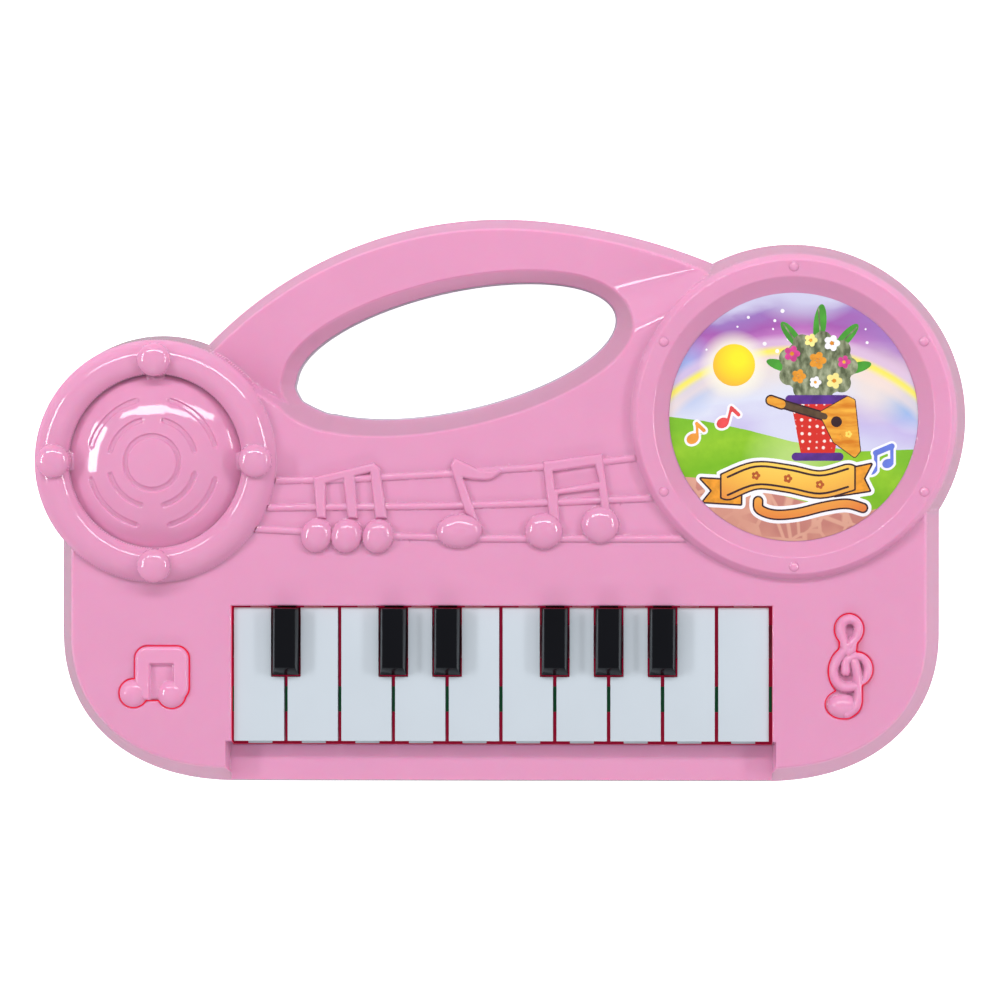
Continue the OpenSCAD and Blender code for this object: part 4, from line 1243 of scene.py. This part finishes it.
REAR_Z = 1.5
REAR_PROFILE = [(0, 12), (0.3, 4.4), (0.6, 3.1), (1.1, 2.3), (1.9, 1.7), (3.0, 1.5)]
LIP = 0.4
CASE_POSTS = [(-104, -22), (105, -20), (-64, 44), (46, 54), (-84, -66), (86, -66), (-45, 5), (44, 3)]
WELL_R = 3.1
WELL_Z = 9.0
FEET = [(-98, -30), (98, -30), (-98, 18), (98, 40)]
FOOT_R = 5.0
BAY = (-30.5, 30.5, -31.0, 16.0)
TONGUE = (29.5, 39.0, -11.5, -3.5)
COVER_CORNER_R = 0.4
REAR_RIM_Z = 3.6
REAR_STEPS = [depth for depth, _ in REAR_PROFILE[1:]] + [0.15, 0.45, 0.85, 1.5, 2.4, 3.4]
SOUND_RINGS = [5, 10, 15]


def rear_opening(x, y):
    return opening_depth(x, y) - LIP


def cover_space(x, y):
    return np.maximum(rounded_box_depth(x, y, BAY, COVER_CORNER_R),
                      rounded_box_depth(x, y, TONGUE, COVER_CORNER_R))


def sound_depth(x, y):
    """Depth inside the nearest arc-shaped sound slot."""
    r = from_speaker(x, y)
    turn = np.degrees(np.arctan2(y - SPEAKER_AT[1], x - SPEAKER_AT[0])) % 60 - 22
    past = np.maximum(np.minimum(np.abs(turn), np.abs(turn - 60)) - 19, 0)
    return np.maximum.reduce([0.8 - np.hypot(r - ring, np.radians(past) * ring) for ring in SOUND_RINGS])


def rear_edge(x, y):
    return np.minimum(case_depth(x, y), -rear_opening(x, y))


def rear_inside(x, y):
    return np.minimum.reduce([rear_edge(x, y), -cover_space(x, y), -sound_depth(x, y)])


def rear_core(x, y):
    return np.interp(rear_edge(x, y), *zip(*REAR_PROFILE))


def rear_height(x, y):
    z = rear_core(x, y)
    for at in CASE_POSTS:
        z = z + (WELL_Z - REAR_Z) * ease((WELL_R + 0.1 - np.hypot(x - at[0], y - at[1])) / 0.2)
    for at in FEET:
        z = z - REAR_Z * ease((FOOT_R - np.hypot(x - at[0], y - at[1])) / 0.5)
    z = z + edge_drop(-cover_space(x, y), 0.3) + edge_drop(-sound_depth(x, y), 0.3)
    return z


def make_rear_shell():
    opening = contours(rear_opening, (-62, 16), (38, 64), 0.5, 0.6)[:1]
    cover = contours(cover_space, (-33, -33), (42, 20), 0.7, 0.6)[:1]
    slots = contours(sound_depth, (-110, -8), (-73, 29), 0.45, 0.4)
    loops = outer_loops + opening + cover + slots
    samples = rings(outer_loops + opening, rear_edge, REAR_STEPS)
    samples += rings(cover, cover_space, [-0.1, -0.2, -0.35]) + rings(slots, sound_depth, [-0.1, -0.2, -0.35])
    for at in CASE_POSTS:
        for r in (1.5, 2.6, 2.85, 2.95, 3.05, 3.15, 3.3, 3.6):
            samples.append(circle_points(at, r, 40))
    for at in FEET:
        for r in (2, 4.2, 4.5, 4.65, 4.8, 4.9, 5.0, 5.2):
            samples.append(circle_points(at, r, 56))
    samples.append(grid_points((-124, -76), (126, 76), 4.0))
    feet = [None, None] + [REAR_RIM_Z] * (len(loops) - 2)
    piece = moulded_sheet("rear_shell_moulding", loops, feet, samples, rear_inside, rear_height, rear_core, -1,
                          [rear_plastic])
    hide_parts("rear_shell")
    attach(piece, "case")


make_rear_shell()


# ---- battery bay ----

TUB_WALLS = [((-31.0, 31.0), (-31.5, 16.5), (18.8, 20.3)), ((-31.0, -29.5), (-31.5, 16.5), (6.4, 18.8)),
             ((29.5, 31.0), (-31.5, 16.5), (4.8, 18.8)), ((-29.5, 29.5), (-31.5, -30.0), (3.7, 18.8)),
             ((-29.5, 29.5), (15.0, 16.5), (3.7, 18.8))]
# Rings of the screw's seat from the end of its bore outwards: half width, z, and whether it is a square
SEAT_AT = (35.0, -7.5)
SEAT_SIDES = 40
SEAT_RINGS = [(2.2, 13.0, False), (2.2, 4.2, False), (4.6, 4.2, True), (4.6, 5.2, True), (3.4, 5.2, False),
              (3.4, 14.0, False)]
KEY_STOP = [((-71.9, 73.8), (-67.0, -57.0), (18.4, 19.6))]


def make_boxes(name, boxes, material):
    """Plain inner walls of the case, each from its spans in x, y and z."""
    mesh = bmesh.new()
    for spans in boxes:
        cube = bmesh.ops.create_cube(mesh, size=1.0)["verts"]
        for v in cube:
            v.co = [MM * (sum(span) / 2 + c * (span[1] - span[0])) for span, c in zip(spans, v.co)]
    data = bpy.data.meshes.new(name)
    mesh.to_mesh(data)
    mesh.free()
    data.materials.append(material)
    piece = linked(name, data)
    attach(piece, "case")


def make_screw_seat():
    """A square plate over the tongue of the battery cover, with the blind boss of its screw."""
    turns = np.arange(SEAT_SIDES) * 2 * math.pi / SEAT_SIDES
    way = np.stack([np.cos(turns), np.sin(turns)], 1)
    square = way / np.abs(way).max(1)[:, None]
    points = np.vstack([np.column_stack([(square if is_square else way) * half + SEAT_AT, np.full(SEAT_SIDES, z)])
                        for half, z, is_square in SEAT_RINGS])
    faces = []
    for ring in range(len(SEAT_RINGS) - 1):
        for k in range(SEAT_SIDES):
            a, b = ring * SEAT_SIDES + k, ring * SEAT_SIDES + (k + 1) % SEAT_SIDES
            faces.append((a, b, b + SEAT_SIDES, a + SEAT_SIDES))
    faces += [tuple(range(SEAT_SIDES))[::-1], tuple(range(len(points) - SEAT_SIDES, len(points)))]
    data = bpy.data.meshes.new("cover_screw_seat")
    data.from_pydata((points * MM).tolist(), [], faces)
    data.update()
    data.materials.append(rear_plastic)
    piece = linked("cover_screw_seat", data)
    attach(piece, "case")


def cell_colour(tree):
    """Wrapped can with bare ends and one coloured band."""
    where = tree.nodes.new("ShaderNodeTexCoord")
    split = tree.nodes.new("ShaderNodeSeparateXYZ")
    tree.links.new(where.outputs["Object"], split.inputs["Vector"])
    along = product(tree, split.outputs["X"], 1000.0)
    wrap = add_ramp(tree, rescaled(tree, along, -26, 26), [(0.28, srgb(38, 44, 52)), (0.285, srgb(196, 138, 60))])
    ends = rescaled(tree, product(tree, along, 0.0, "ABSOLUTE"), 23.9, 24.0)
    return blended(tree, ends, wrap, srgb(176, 178, 182))


make_boxes("battery_tub", TUB_WALLS, rear_plastic)
make_screw_seat()
# The key stop under the keys takes the frame's painted shade and glow.
make_boxes("key_stop", KEY_STOP, frame_shade_glow)


# ---- keys and other parts that keep their CAD shape ----

def refined(node, width, material, body, segments=3):
    """A copy of a CAD node with rounded edges."""
    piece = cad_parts[node].copy()
    piece.data = piece.data.copy()
    piece.name = node + "_moulding"
    bpy.context.collection.objects.link(piece)
    piece.parent = None
    mesh = bmesh.new()
    mesh.from_mesh(piece.data)
    bmesh.ops.remove_doubles(mesh, verts=mesh.verts, dist=1e-6)
    bmesh.ops.dissolve_limit(mesh, angle_limit=math.radians(2), verts=mesh.verts, edges=mesh.edges)
    mesh.to_mesh(piece.data)
    mesh.free()
    piece.data.materials.clear()
    piece.data.materials.append(material)
    piece.data.shade_smooth()
    bevel = piece.modifiers.new("edges", "BEVEL")
    bevel.width = width * MM
    bevel.segments = segments
    bevel.limit_method = "ANGLE"
    bevel.angle_limit = math.radians(35)
    bevel.harden_normals = True
    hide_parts(node)
    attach(piece, body)
    return piece


def repaint(node, material):
    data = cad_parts[node]
    for slot in data.material_slots:
        slot.link = "OBJECT"
        slot.material = material


for i in range(1, 11):
    refined(f"white_key_{i}", 0.28, white_plastic, f"white_key_{i}")
for i in range(1, 7):
    refined(f"black_key_{i}", 0.3, black_plastic, f"black_key_{i}")

refined("battery_cover", 0.25, rear_plastic, "battery_cover", 2)

cell_wrap = printed("cell_wrap", cell_colour, rough=0.28)
FINISHES = {
    "key_pivot_rod": steel, "key_frame_screws": steel, "board_screws": steel, "speaker_clamp_screws": steel,
    "battery_springs": steel, "battery_plates": steel, "battery_cover_screw": steel, "case_screws": steel,
    "speaker_frame": steel, "speaker_magnet": steel, "key_frame": frame_shade_glow, "key_membrane": rubber,
    # The key frame takes the dark red painted shade and glow.
    "note_button_pad": rubber, "clef_button_pad": rubber, "main_board": board_green, "board_chip": epoxy,
    "board_capacitors": sleeve, "speaker_cone": paper, "speaker_clamp": clamp_white, "speaker_wires": wire_red,
    "battery_wires": wire_red, "battery_1": cell_wrap, "battery_2": cell_wrap, "battery_3": cell_wrap,
}
for node, material in FINISHES.items():
    repaint(node, material)


# ---- floor ----

def make_floor():
    data = bpy.data.meshes.new("floor")
    half = 4.0
    data.from_pydata([(-half, -half, 0), (half, -half, 0), (half, half, 0), (-half, half, 0)], [], [(0, 1, 2, 3)])
    floor = linked("floor", data)
    material, tree, shader = node_material("white_paper")
    tint = add_ramp(tree, add_noise(tree, 6), [(0.3, (0.93, 0.93, 0.935)), (0.7, (0.95, 0.95, 0.95))])
    tree.links.new(tint, shader.inputs["Base Color"])
    shader.inputs["Roughness"].default_value = 0.9
    shader.inputs["Emission Color"].default_value = (1, 1, 1, 1)
    shader.inputs["Emission Strength"].default_value = 0.72
    data.materials.append(material)
    floor.location.z = -0.0002
    floor.visible_glossy = False


make_floor()
